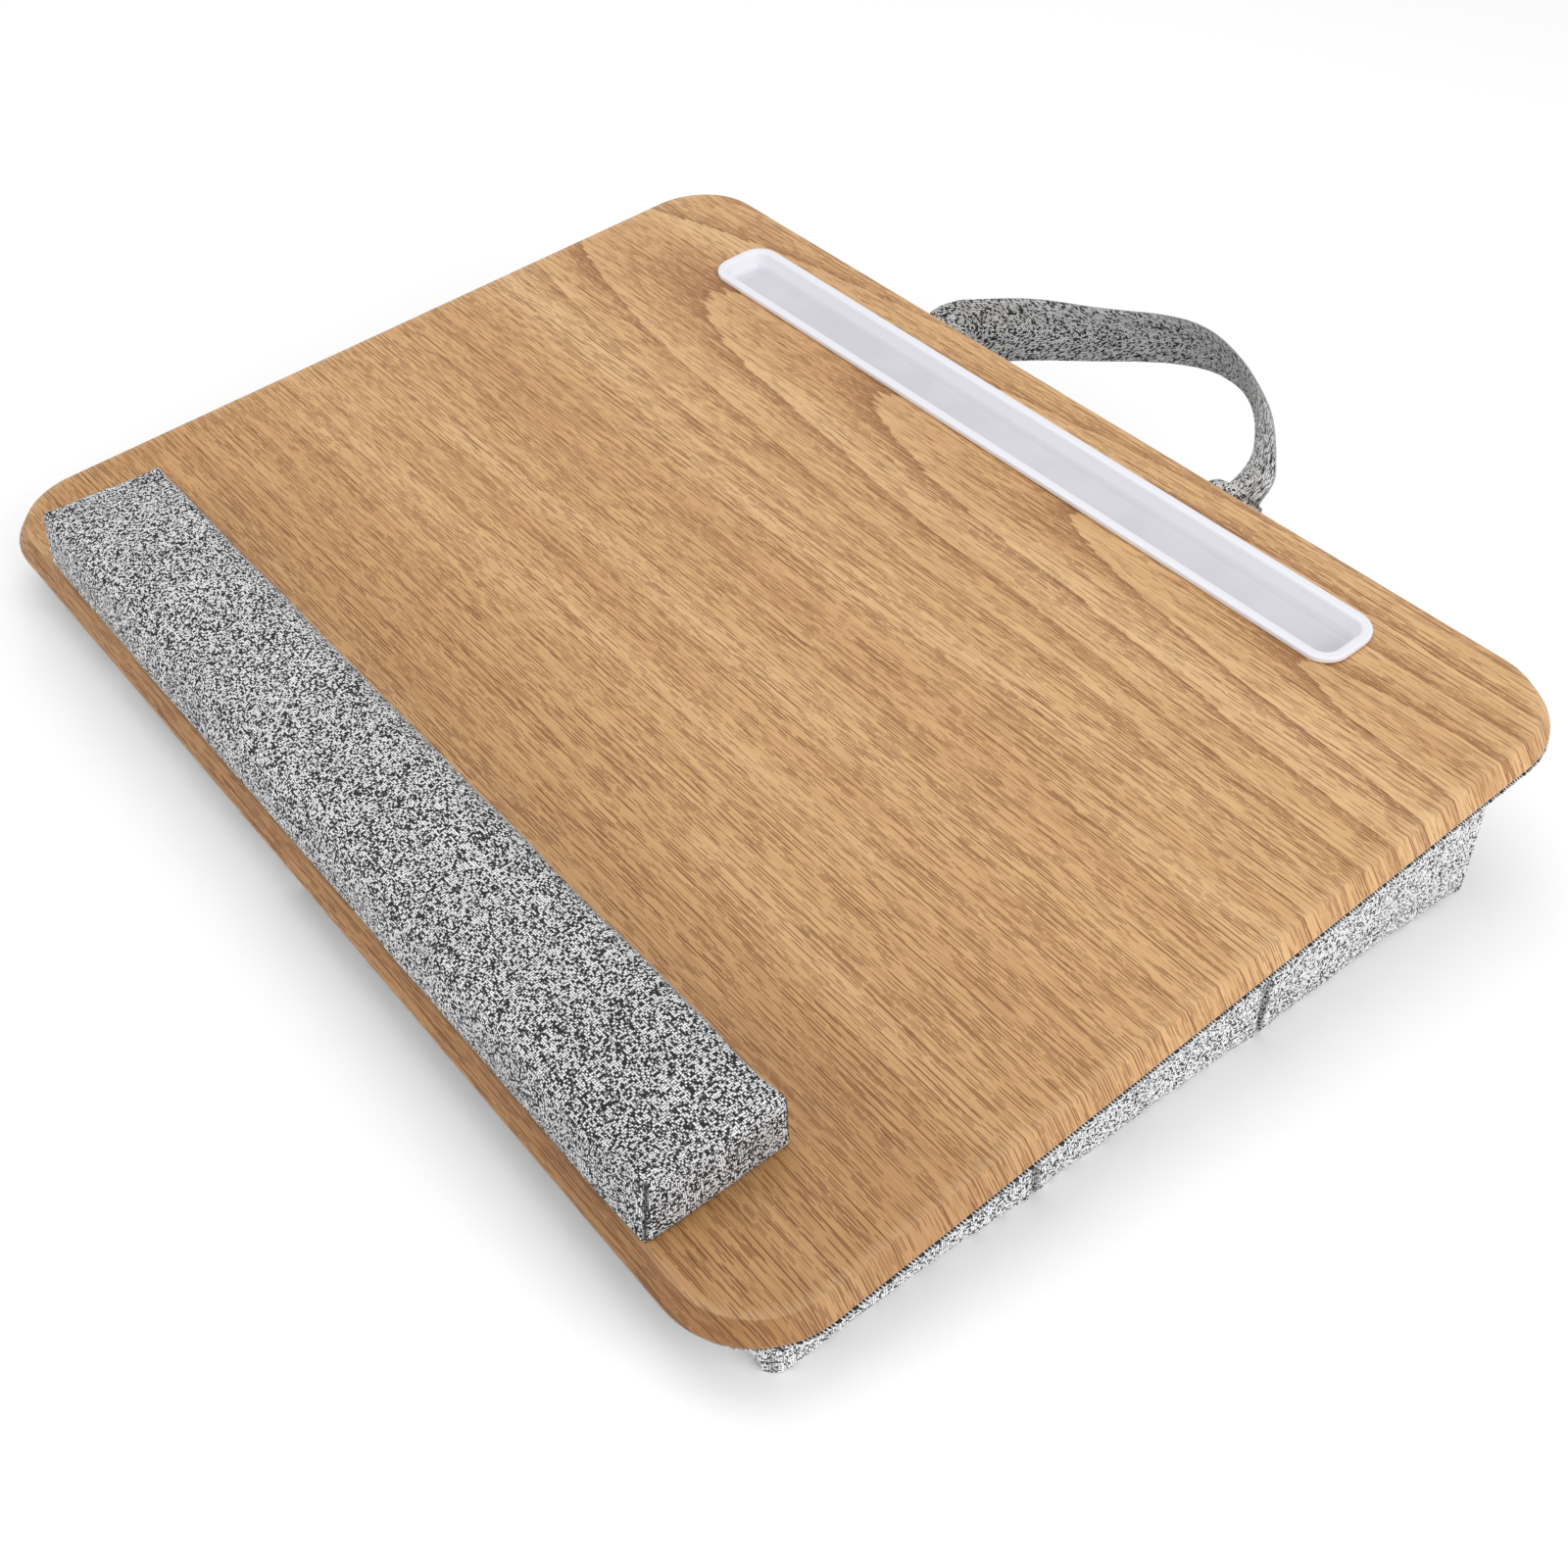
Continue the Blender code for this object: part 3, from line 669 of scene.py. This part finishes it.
def cushionForm(look):
    # A box of cloth panels, from the height of its sewn side to that of its free side
    halfX, halfY = look["size"][0] / 2, look["size"][1] / 2
    midX, midY = look["middle"]
    sewn = look["sewn"]
    xs, ys = gridLines(halfX, look["step"]), gridLines(halfY, look["step"])
    rises = max(4, round(abs(look["free"](midY + halfY) - sewn) / look["step"]))
    lastX, lastY = len(xs) - 1, len(ys) - 1
    bm = bmesh.new()
    weave = bm.loops.layers.uv.new("weave")
    seam = bm.loops.layers.uv.new("seam")
    verts, laid = {}, {}

    def vertAt(i, j, k):
        if (i, j, k) in verts:
            return verts[(i, j, k)]
        x, y = xs[i], ys[j]
        free = look["free"](midY + y)
        length = abs(free - sewn)
        t = k / rises * length
        # The rounding tightens towards the corner seams
        aside = min(1.0, max(halfX - abs(x), halfY - abs(y)) / 0.012)
        soft = look["edgeRound"] - look["cornerRound"]
        soft = look["cornerRound"] + soft * aside * aside * (3 - 2 * aside)
        inX = max(-halfX + soft, min(halfX - soft, x))
        inY = max(-halfY + soft, min(halfY - soft, y))
        inT = min(t, length - soft)
        gap = Vector((x - inX, y - inY, t - inT))
        reach = max(abs(gap.x), abs(gap.y), abs(gap.z))
        if reach > 1e-9:
            power = look["squareness"]
            flat = (abs(gap.x) ** power + abs(gap.y) ** power) ** (1 / power)
            gap *= reach / math.hypot(flat, gap.z)
        px, py, pt = inX + gap.x, inY + gap.y, inT + gap.z
        tuck = look["drawIn"] * (1 - min(1.0, t / max(0.010, length * 0.6))) ** 2
        px *= 1 - tuck / halfX
        py *= 1 - tuck / halfY
        vert = bm.verts.new((midX + px, midY + py, sewn + math.copysign(pt, free - sewn)))
        verts[(i, j, k)] = vert
        laid[vert] = (x, y, t, length)
        return vert

    def addFace(side, *keys):
        face = bm.faces.new([vertAt(*key) for key in keys])
        for corner in face.loops:
            x, y, t, length = laid[corner.vert]
            run = farFromSeam
            if side == "x":
                x = math.copysign(halfX + length - t, x)
                run = halfY - abs(y)
            elif side == "y":
                run = halfX - abs(x)
                y = math.copysign(halfY + length - t, y)
            corner[weave].uv = (x + look["clothShift"], y + look["clothShift"] * 0.6)
            corner[seam].uv = (run, t)

    for i in range(lastX):
        for j in range(lastY):
            for k in (0, rises):
                addFace("flat", (i, j, k), (i + 1, j, k), (i + 1, j + 1, k), (i, j + 1, k))
    for i in range(lastX):
        for k in range(rises):
            for j in (0, lastY):
                addFace("y", (i, j, k), (i + 1, j, k), (i + 1, j, k + 1), (i, j, k + 1))
    for j in range(lastY):
        for k in range(rises):
            for i in (0, lastX):
                addFace("x", (i, j, k), (i, j + 1, k), (i, j + 1, k + 1), (i, j, k + 1))
    bm.verts.index_update()
    held = sorted(
        vert.index for (i, j, k), vert in verts.items()
        if k == 0 or (i in (0, lastX) and j in (0, lastY))
    )
    return solidFrom(look["name"], bm), held


def inflate(item, held, look):
    # Lets the cloth fill out between its seams, and caps how far a point goes
    start = np.array([v.co for v in item.data.vertices], float)
    item.vertex_groups.new(name="held").add(held, 1.0, "ADD")
    cloth = item.modifiers.new("fill", "CLOTH")
    settings = cloth.settings
    settings.quality = 5
    settings.mass = 0.2
    settings.tension_stiffness = look["tension"]
    settings.compression_stiffness = look["tension"]
    settings.shear_stiffness = look["tension"] * 0.5
    settings.bending_stiffness = 0.4
    settings.use_pressure = True
    settings.uniform_pressure_force = look["pressure"]
    settings.effector_weights.gravity = 0
    settings.vertex_group_mass = "held"
    cloth.point_cache.frame_start = 1
    cloth.point_cache.frame_end = 20
    for number in range(1, 21):
        scene.frame_set(number)
    graph = bpy.context.evaluated_depsgraph_get()
    filled = np.array([v.co for v in item.evaluated_get(graph).data.vertices], float)
    item.modifiers.remove(cloth)
    item.vertex_groups.clear()
    scene.frame_set(1)
    move = filled - start
    size = np.linalg.norm(move, axis=1, keepdims=True)
    move *= np.minimum(1.0, look["cap"] / np.maximum(size, 1e-9))
    print(look["name"], "fills out by up to", round(float(size.max()) * 1000, 2), "mm")
    item.data.vertices.foreach_set("co", (start + move).astype(np.float32).ravel())
    item.data.update()


def seamRuns(mesh):
    # Per vertex: the distance to the nearest corner seam, and the height on that seam
    runs = np.full(len(mesh.vertices), farFromSeam)
    rises = np.zeros(len(mesh.vertices))
    corners = np.empty(len(mesh.loops), int)
    mesh.loops.foreach_get("vertex_index", corners)
    values = np.empty(len(mesh.loops) * 2)
    mesh.uv_layers["seam"].data.foreach_get("uv", values)
    for corner, (run, rise) in zip(corners, values.reshape(-1, 2)):
        if run < runs[corner]:
            runs[corner], rises[corner] = run, rise
    return runs, rises


def settleCloth(item, look):
    # Small dents, gathers beside the corner seams, and flat where it lies on something
    mesh = item.data
    runs, rises = seamRuns(mesh)
    points = [v.co.copy() for v in mesh.vertices]
    normals = [n.vector.copy() for n in mesh.vertex_normals]
    shift = look["clothShift"] * 40
    for i, (co, normal) in enumerate(zip(points, normals)):
        dent = noise.noise(Vector((co.x * 22 + shift, co.y * 30, co.z * 45)))
        dent += 0.45 * noise.noise(Vector((co.x * 70, co.y * 80 + shift, co.z * 90)))
        height = abs(look["sewn"] - co.z)
        free = min(1.0, height / 0.006)
        low = max(0.0, 1 - height / 0.016)
        push = dent * look["dents"] * free
        side = math.hypot(normal.x, normal.y) ** 2
        push += side * look["wave"] * noise.noise(Vector((co.x * 34, co.y * 34, shift))) * (0.5 + low) * free
        if runs[i] < 0.03:
            groove = math.exp(-(runs[i] / 0.0014) ** 2)
            gather = math.sin(rises[i] * 2 * math.pi / 0.0058 + shift)
            push -= look["pinch"] * groove
            push += look["gathers"] * gather * math.exp(-runs[i] / 0.0045) * (1 - groove)
        back = (co.y - look["middle"][1]) / look["size"][1] * 2
        co.x += look["skew"] * back * max(0.0, co.x / 0.18)
        co.y += look["lean"] * max(0.0, -back) * min(1.0, height / look["rise"])
        for spot, pull, reach in look["pulls"]:
            gap = (co - Vector(spot)).length / reach
            co += Vector(pull) * math.exp(-gap * gap)
        points[i] = look["keepClear"](co + normal * push, look["middle"])
    mesh.vertices.foreach_set("co", np.array(points, np.float32).ravel())
    mesh.update()


def makeCushion(look):
    item, held = cushionForm(look)
    inflate(item, held, look)
    smooth = item.modifiers.new("smooth", "SUBSURF")
    smooth.levels = 1
    smooth.uv_smooth = "NONE"
    plainMesh(item)
    settleCloth(item, look)
    dress(item, look["cloth"], replaced=look["replaced"])


def restClear(point, middle):
    point.z = max(point.z, rest["sewn"])
    return point


rest = {
    "name": "wristRest",
    "middle": (0.002, 0.0288),
    "size": (0.3598, 0.0484),
    "rise": 0.021,
    "lean": 0.0014,
    "pulls": (
        # spot, shift and how far it reaches
        ((0.1815, 0.0060, 0.0205), (-0.0036, 0.0042, -0.0012), 0.013),
        ((-0.1778, 0.0060, 0.0205), (-0.0012, 0.0020, -0.0008), 0.014),
        ((-0.1778, 0.0520, 0.0140), (0.0034, -0.0003, 0.0), 0.022),
    ),
    "sewn": 0.0003,
    "free": lambda y: 0.0214,
    "edgeRound": 0.0042,
    "squareness": 3.6,
    "cornerRound": 0.0025,
    "drawIn": 0.0002,
    "skew": 0.0004,
    "wave": 0.0011,
    "step": 0.0036,
    "tension": 60.0,
    "pressure": 1.5,
    "cap": 0.0016,
    "dents": 0.0005,
    "pinch": 0.0004,
    "gathers": 0.00035,
    "clothShift": 0.013,
    "fill": 0.9,
    "cloth": greyCloth,
    "replaced": ("wrist_cover", "wrist_foam"),
    "keepClear": restClear,
}
makeCushion(rest)

pods = {
    "columnWidth": 0.2165,
    "columnMiddle": 0.11125,
    # Start and end of each row, for the left and the right pod
    "rows": {
        "front": ((0.0040, 0.1052), (0.0135, 0.1052)),
        "middle": ((0.1063, 0.2002), (0.1063, 0.2002)),
        "rear": ((0.2013, 0.3045), (0.2013, 0.3045)),
    },
    "partings": (0.10575, 0.20075),
    "partingGap": 0.0003,
    "floorGap": 0.0002,
    "cornerReach": 0.0278,
}


def podClear(point, middle):
    # Below the base cloth, above the floor, and inside the board's rounded corner
    point.z = max(min(point.z, podLook["sewn"]), floorAt(point.y) + pods["floorGap"])
    point.y = min([point.y, *(p - pods["partingGap"] for p in pods["partings"] if p > middle[1])])
    point.y = max([point.y, *(p + pods["partingGap"] for p in pods["partings"] if p < middle[1])])
    coreX = desk["width"] / 2 - desk["cornerRadius"]
    overX, overY = abs(point.x) - coreX, desk["cornerRadius"] - point.y
    if overX > 0 and overY > 0 and math.hypot(overX, overY) > pods["cornerReach"]:
        scale = pods["cornerReach"] / math.hypot(overX, overY)
        point.x = math.copysign(coreX + overX * scale, point.x)
        point.y = desk["cornerRadius"] - overY * scale
    return point


podLook = {
    "sewn": -0.0085,
    "free": floorAt,
    "edgeRound": 0.0042,
    "squareness": 5.0,
    "cornerRound": 0.0016,
    "drawIn": 0.001,
    "skew": 0.0,
    "rise": 0.03,
    "lean": 0.0,
    "pulls": (),
    "wave": 0.0009,
    "step": 0.0046,
    "tension": 60.0,
    "pressure": 1.2,
    "cap": 0.0018,
    "dents": 0.0007,
    "pinch": 0.0005,
    "gathers": 0.00045,
    "fill": 0.9,
    "cloth": podClothLit,
    "keepClear": podClear,
}
for rowIndex, (row, ends) in enumerate(pods["rows"].items()):
    for column, side, (start, end) in zip(("left", "right"), (-1, 1), ends):
        makeCushion({
            **podLook,
            "name": f"pod{row.capitalize()}{column.capitalize()}",
            "middle": (side * pods["columnMiddle"], (start + end) / 2),
            "size": (pods["columnWidth"], end - start),
            "clothShift": 0.021 * (rowIndex + 1) + 0.037 * side,
            "replaced": (f"pod_cover_{row}_{column}", f"pod_foam_{row}_{column}"),
        })
print("cushions made")


# Base cloth and its rolled hem

hem = {
    "margin": -0.0005,
    "radius": 0.0012,
    "height": -0.0084,
    "spacing": 0.0011,
    "strand": 0.00028,
    "frontTuck": 0.0011,
    "lean": math.radians(38),
    "seed": 4,
}
panel = {
    "inset": hem["margin"] + 2 * hem["radius"] + 0.0003,  # inside the roll, with a small gap
    "top": -0.0072,
    "bottom": -0.0082,
}
socketKinds = {float: "NodeSocketFloat", int: "NodeSocketInt", bpy.types.Material: "NodeSocketMaterial"}


def makeBaseCloth():
    bm = bmesh.new()
    ring = insetRing(desk, panel["inset"], 14)
    top, low = [[bm.verts.new((x, y, z)) for x, y in ring] for z in (panel["top"], panel["bottom"])]
    bm.faces.new(top)
    bm.faces.new(reversed(low))
    bridge(bm, (low, top))
    layWeave(bm, lambda vert: vert.co.xy)
    bmesh.ops.triangulate(bm, faces=[f for f in bm.faces if len(f.verts) > 4])
    item = solidFrom("baseCloth", bm)
    dress(item, greyCloth, replaced=("base_cloth",), sharpAngle=40)
    return item


def runNodes(item, name, values, draw):
    # A Geometry Nodes tree with the values as its named inputs, made into a plain mesh
    tree = bpy.data.node_groups.new(name, "GeometryNodeTree")
    for way in ("INPUT", "OUTPUT"):
        tree.interface.new_socket("Geometry", in_out=way, socket_type="NodeSocketGeometry")
    keys = {}
    for label, value in values.items():
        kind = socketKinds[type(value)]
        keys[label] = tree.interface.new_socket(label, in_out="INPUT", socket_type=kind).identifier
    given = addNode(tree, "NodeGroupInput").outputs
    real = addNode(tree, "GeometryNodeRealizeInstances", {"Geometry": draw(tree, given)})
    painted = addNode(tree, "GeometryNodeSetMaterial", {"Geometry": real, "Material": given["Material"]})
    addNode(tree, "NodeGroupOutput", {0: painted})
    build = item.modifiers.new("build", "NODES")
    build.node_group = tree
    for label, value in values.items():
        build[keys[label]] = value
    plainMesh(item)
    print(item.name, "has", len(item.data.polygons), "faces")


def circleLine(tree, sides, radius):
    return addNode(tree, "GeometryNodeCurvePrimitiveCircle", {"Resolution": sides, "Radius": radius})


def tubeOn(tree, line, section):
    return addNode(tree, "GeometryNodeCurveToMesh", {"Curve": line, "Profile Curve": section})


def drawHem(tree, given):
    # A roll round the outline, wrapped in leaning strands
    outline = addNode(tree, "GeometryNodeCurvePrimitiveQuadrilateral", {
        "Width": given["Width"], "Height": given["Depth"],
    })
    rounded = addNode(tree, "GeometryNodeFilletCurve", {
        "Curve": outline, "Radius": given["Corner Radius"], "Count": 14,
    }, mode="POLY")
    roll, strand = given["Roll Radius"], given["Strand Radius"]
    thin = calc(tree, "SUBTRACT", roll, times(tree, strand, 1.2))
    core = tubeOn(tree, rounded, circleLine(tree, 10, thin))
    stops = addNode(tree, "GeometryNodeResampleCurve", {
        "Curve": rounded, "Length": given["Spacing"],
    }, mode="LENGTH")
    loopLine = circleLine(tree, 10, calc(tree, "SUBTRACT", roll, strand))
    loop = tubeOn(tree, loopLine, circleLine(tree, 4, strand))
    tangent = addNode(tree, "GeometryNodeInputTangent")
    upward = vectorOf(tree, 0.0, 0.0, calc(tree, "SINE", given["Lean"]))
    axis = vectorCalc(tree, "MULTIPLY_ADD", tangent, calc(tree, "COSINE", given["Lean"]), upward)
    turn = addNode(tree, "FunctionNodeAlignRotationToVector", {"Vector": axis}, axis="Z")
    spread = {"Points": stops, "Instance": loop, "Rotation": turn}
    placed = addNode(tree, "GeometryNodeInstanceOnPoints", spread)
    # Every fifth strand is darker
    order = addNode(tree, "GeometryNodeInputIndex")
    fifth = calc(tree, "COMPARE", calc(tree, "MODULO", order, 5.0), 0.0, 0.5)
    chance = addNode(tree, "FunctionNodeRandomValue", {
        "Min": 0.55, "Max": 0.95, "Seed": given["Seed"],
    }, data_type="FLOAT").outputs[1]
    shaded = addNode(tree, "GeometryNodeStoreNamedAttribute", {
        "Geometry": placed, "Name": "threadShade",
        "Value": calc(tree, "ADD", times(tree, fifth, -0.3), chance),
    }, data_type="FLOAT", domain="INSTANCE")
    both = addNode(tree, "GeometryNodeJoinGeometry")
    for part in (shaded, core):
        feed(tree, part, both.inputs[0])
    return both


def makeHem():
    inset = hem["margin"] + hem["radius"]
    item = objectFrom("hemRoll", bmesh.new())
    runNodes(item, "hemRollNodes", {
        "Width": desk["width"] - 2 * inset,
        "Depth": desk["depth"] - 2 * inset - hem["frontTuck"],
        "Corner Radius": desk["cornerRadius"] - inset,
        "Roll Radius": hem["radius"],
        "Strand Radius": hem["strand"],
        "Spacing": hem["spacing"],
        "Lean": hem["lean"],
        "Seed": hem["seed"],
        "Material": hemThread,
    }, drawHem)
    item.data.transform(Matrix.Translation((0, (desk["depth"] + hem["frontTuck"]) / 2, hem["height"])))
    dress(item, hemThread, replaced=("hem_roll",))
    return item


baseCloth = makeBaseCloth()
hemRoll = makeHem()
print("base cloth and hem made")


# Carry strap: one band from under the board, round the loop and back

strap = {
    "width": 0.025,
    "thickness": 0.0018,
    "span": 0.150,
    "reach": 0.056,
    "sewnLength": 0.030,
    "sewnHeight": -0.0094,
    "bendStart": 0.3339,
    "bendEnd": 0.3368,
    "straightEnd": 0.012,
    "ripple": 0.00012,
    "samples": 10,
    "columns": 12,
    "hingeBefore": 0.0012,
    "hingeAfter": 0.0040,
    # across as a share of half the span, out and rise as shares of the reach, lean in degrees
    "stations": (
        (-1.000, 0.000, 0.000, 0),
        (-1.000, 0.090, 0.000, 4),
        (-0.993, 0.189, -0.071, 51),
        (-0.700, 0.465, 0.000, 73),
        (-0.424, 0.740, 0.011, 91),
        (-0.067, 0.991, 0.082, 103),
        (0.236, 1.000, 0.168, 111),
        (0.541, 0.859, 0.187, 109),
        (0.842, 0.536, 0.150, 83),
        (0.988, 0.206, 0.063, 41),
        (0.987, 0.090, 0.012, 4),
        (1.000, 0.000, 0.000, 0),
    ),
}


def smoothPath(stations, samples):
    first = [2 * a - b for a, b in zip(stations[0], stations[1])]
    last = [2 * a - b for a, b in zip(stations[-1], stations[-2])]
    line = [first, *stations, last]
    points = []
    for a, b, c, d in zip(line, line[1:], line[2:], line[3:]):
        for step in range(samples):
            t = step / samples
            points.append([
                0.5 * (2 * q + (r - p) * t + (2 * p - 5 * q + 4 * r - s) * t ** 2
                       + (3 * q - p - 3 * r + s) * t ** 3)
                for p, q, r, s in zip(a, b, c, d)
            ])
    points.append(list(stations[-1]))
    return points


def strapSections():
    # (middle, width direction, along) from the left sewn end to the right one
    half = strap["span"] / 2
    hingeY, hingeZ = desk["hinge"][1:]
    path = smoothPath([
        (share * half, out * strap["reach"], rise * strap["reach"], math.radians(lean))
        for share, out, rise, lean in strap["stations"]
    ], strap["samples"])
    middles = [Vector(p[:3]) for p in path]
    travelled = np.cumsum([0.0] + [(b - a).length for a, b in zip(middles, middles[1:])])
    loop = []
    for i, (middle, point) in enumerate(zip(middles, path)):
        along = middles[min(i + 1, len(middles) - 1)] - middles[max(i - 1, 0)]
        fromEnd = min(travelled[i], travelled[-1] - travelled[i])
        straight = Vector((0, 1 if i < len(middles) / 2 else -1, 0))
        along = straight.lerp(along.normalized(), min(1.0, fromEnd / strap["straightEnd"])).normalized()
        outward = Vector((-along.y, along.x, 0)).normalized()
        across = outward * math.cos(point[3]) + Vector((0, 0, 1)) * math.sin(point[3])
        across = (across - along * across.dot(along)).normalized()
        loop.append((middle + Vector((0, hingeY, hingeZ)), across, along))

    def underBoard(side, across, direction):
        bend, bendEnd, height = strap["bendStart"], strap["bendEnd"], strap["sewnHeight"]
        start = bend - strap["sewnLength"]
        places = [(start + (bend - start) * i / 8, height) for i in range(9)]
        for i in range(1, 7):
            t = i / 6
            ease = t * t * (3 - 2 * t)
            places.append((bend + (bendEnd - bend) * t, height + (hingeZ - height) * ease))
        for i in range(1, 4):
            places.append((bendEnd + (hingeY - bendEnd) * i / 4, hingeZ))
        return [(Vector((side * half, y, z)), across, direction) for y, z in places]

    left = underBoard(-1, loop[0][1], Vector((0, 1, 0)))
    right = underBoard(1, loop[-1][1], Vector((0, -1, 0)))
    return left + loop + right[::-1]


def makeStrap():
    bm = bmesh.new()
    columns = strap["columns"]
    halfWidth, halfThick = strap["width"] / 2, strap["thickness"] / 2
    rings, place = [], {}
    travelled = [0.0] * (2 * columns + 2)
    for middle, across, along in strapSections():
        up = along.cross(across).normalized()
        ring = []
        for side in (1, -1):
            for c in range(columns + 1):
                share = (1 - 2 * c / columns) * side
                edge = 1 - abs(share)
                thick = halfThick * min(1.0, 0.42 + (edge / 0.10) ** 0.7 * 0.58)
                spot = Vector((travelled[len(ring)] * 90, share * 3, side * 5))
                lift = side * thick + strap["ripple"] * noise.noise(spot)
                point = middle + across * (share * halfWidth) + up * lift
                if rings:
                    travelled[len(ring)] += (point - rings[-1][len(ring)].co).length
                vert = bm.verts.new(point)
                place[vert] = (travelled[len(ring)], share * halfWidth + (0.0 if side > 0 else 0.05))
                ring.append(vert)
        rings.append(ring)
    bridge(bm, rings)
    for ring in (rings[0], rings[-1]):
        for i in range(columns):
            bm.faces.new((ring[i], ring[i + 1], ring[-2 - i], ring[-1 - i]))
    layWeave(bm, place.get)
    bmesh.ops.remove_doubles(bm, verts=bm.verts, dist=1e-7)
    item = solidFrom("carryStrap", bm)
    dress(item, strapCloth, body=None,
          replaced=("strap_end_left", "strap_end_right", "handle_strap"))
    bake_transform(item)


stitch = {
    "length": 0.0022,
    "gap": 0.0031,
    "radius": 0.00042,
    "proud": 0.00012,
    "inset": 0.003,
    "back": 0.002,
    "box": 0.02,
}


def drawStitches(tree, given):
    # Short threads laid end to end along drawn lines
    lines = addNode(tree, "GeometryNodeMeshToCurve", {"Mesh": given["Geometry"]})
    spots = addNode(tree, "GeometryNodeResampleCurve", {
        "Curve": lines, "Length": given["Stitch Spacing"],
    }, mode="LENGTH")
    thread = addNode(tree, "GeometryNodeMeshUVSphere", {"Segments": 8, "Rings": 8, "Radius": 1.0})
    radius = given["Thread Radius"]
    shape = vectorOf(tree, radius, radius, times(tree, given["Stitch Length"], 0.5))
    tangent = addNode(tree, "GeometryNodeInputTangent")
    turn = addNode(tree, "FunctionNodeAlignRotationToVector", {"Vector": tangent}, axis="Z")
    return addNode(tree, "GeometryNodeInstanceOnPoints", {
        "Points": spots, "Instance": thread, "Rotation": turn, "Scale": shape,
    })


def makeStitches():
    # A box with a cross on each sewn end, on its lower face
    bm = bmesh.new()
    low = strap["sewnHeight"] - strap["thickness"] / 2 - stitch["proud"]
    start = strap["bendStart"] - strap["sewnLength"] + stitch["back"]
    end = start + stitch["box"]
    half = strap["width"] / 2 - stitch["inset"]
    for side in (-1, 1):
        corners = [
            bm.verts.new((side * strap["span"] / 2 + x, y, low))
            for x, y in ((-half, start), (half, start), (half, end), (-half, end))
        ]
        for pair in pairsRound(corners):
            bm.edges.new(pair)
        for diagonal in (corners[::2], corners[1::2]):
            bm.edges.new([bm.verts.new(corner.co) for corner in diagonal])
    item = objectFrom("boxStitches", bm)
    runNodes(item, "boxStitchNodes", {
        "Stitch Length": stitch["length"],
        "Stitch Spacing": stitch["gap"],
        "Thread Radius": stitch["radius"],
        "Material": sewingThread,
    }, drawStitches)
    dress(item, sewingThread)


makeStrap()
makeStitches()
print("strap made")


# Floor, light and camera

studio = {
    "floorReach": 12.0,
    "floorColour": (0.96, 0.96, 0.96, 1.0),
    "ambient": 0.66,
    "lamps": {
        "key": {"place": (-0.50, 0.10, 1.80), "size": 1.6, "power": 11.0},
        "side": {"place": (1.70, 0.10, 0.80), "size": 1.6, "power": 18.0},
        "front": {"place": (-0.20, -1.70, 0.70), "size": 1.4, "power": 7.0},
    },
}
view = {
    "place": (0.39701, -0.09586, 0.41930),  # on the board's own axes
    "turn": (42.7256, 3.1803, 50.7719),
    "lens": 42.6576,
}


def makeStage():
    bm = bmesh.new()
    bmesh.ops.create_grid(bm, x_segments=1, y_segments=1, size=studio["floorReach"])
    floor = objectFrom("floor", bm)
    material, tree, shader = newMaterial("floorWhite", 0.9, 0.1)
    shader.inputs["Base Color"].default_value = studio["floorColour"]
    paint(floor, material)
    world = bpy.data.worlds.new("softWhite")
    scene.world = world
    world.use_nodes = True
    tree = world.node_tree
    background = tree.nodes["Background"]
    background.inputs["Color"].default_value = (1.0, 1.0, 1.0, 1.0)
    path = addNode(tree, "ShaderNodeLightPath").outputs
    seen = calc(tree, "ADD", path["Is Glossy Ray"], path["Is Transmission Ray"])
    seen = calc(tree, "ADD", path["Is Camera Ray"], seen)
    feed(tree, mapped(tree, seen, 0.0, 1.0, studio["ambient"]), background.inputs["Strength"])


def makeLights():
    for name, look in studio["lamps"].items():
        lamp = bpy.data.lights.new(name, "AREA")
        lamp.shape = "SQUARE"
        lamp.size = look["size"]
        lamp.energy = look["power"]
        item = bpy.data.objects.new(name, lamp)
        item.location = look["place"]
        item.rotation_euler = (-Vector(look["place"])).to_track_quat("-Z", "Y").to_euler()
        scene.collection.objects.link(item)


def makeCamera():
    lens = bpy.data.cameras.new("camera")
    lens.sensor_width = 36.0
    lens.lens = view["lens"]
    lens.clip_start = 0.01
    item = bpy.data.objects.new("camera", lens)
    placed = deskPlace @ Matrix.Translation(view["place"])
    for angle, axis in zip(reversed(view["turn"]), "ZYX"):
        placed = placed @ Matrix.Rotation(math.radians(angle), 4, axis)
    item.matrix_world = placed
    scene.collection.objects.link(item)
    scene.camera = item


makeStage()
makeLights()
makeCamera()
scene.view_settings.view_transform = "Standard"
bpy.context.view_layer.update()
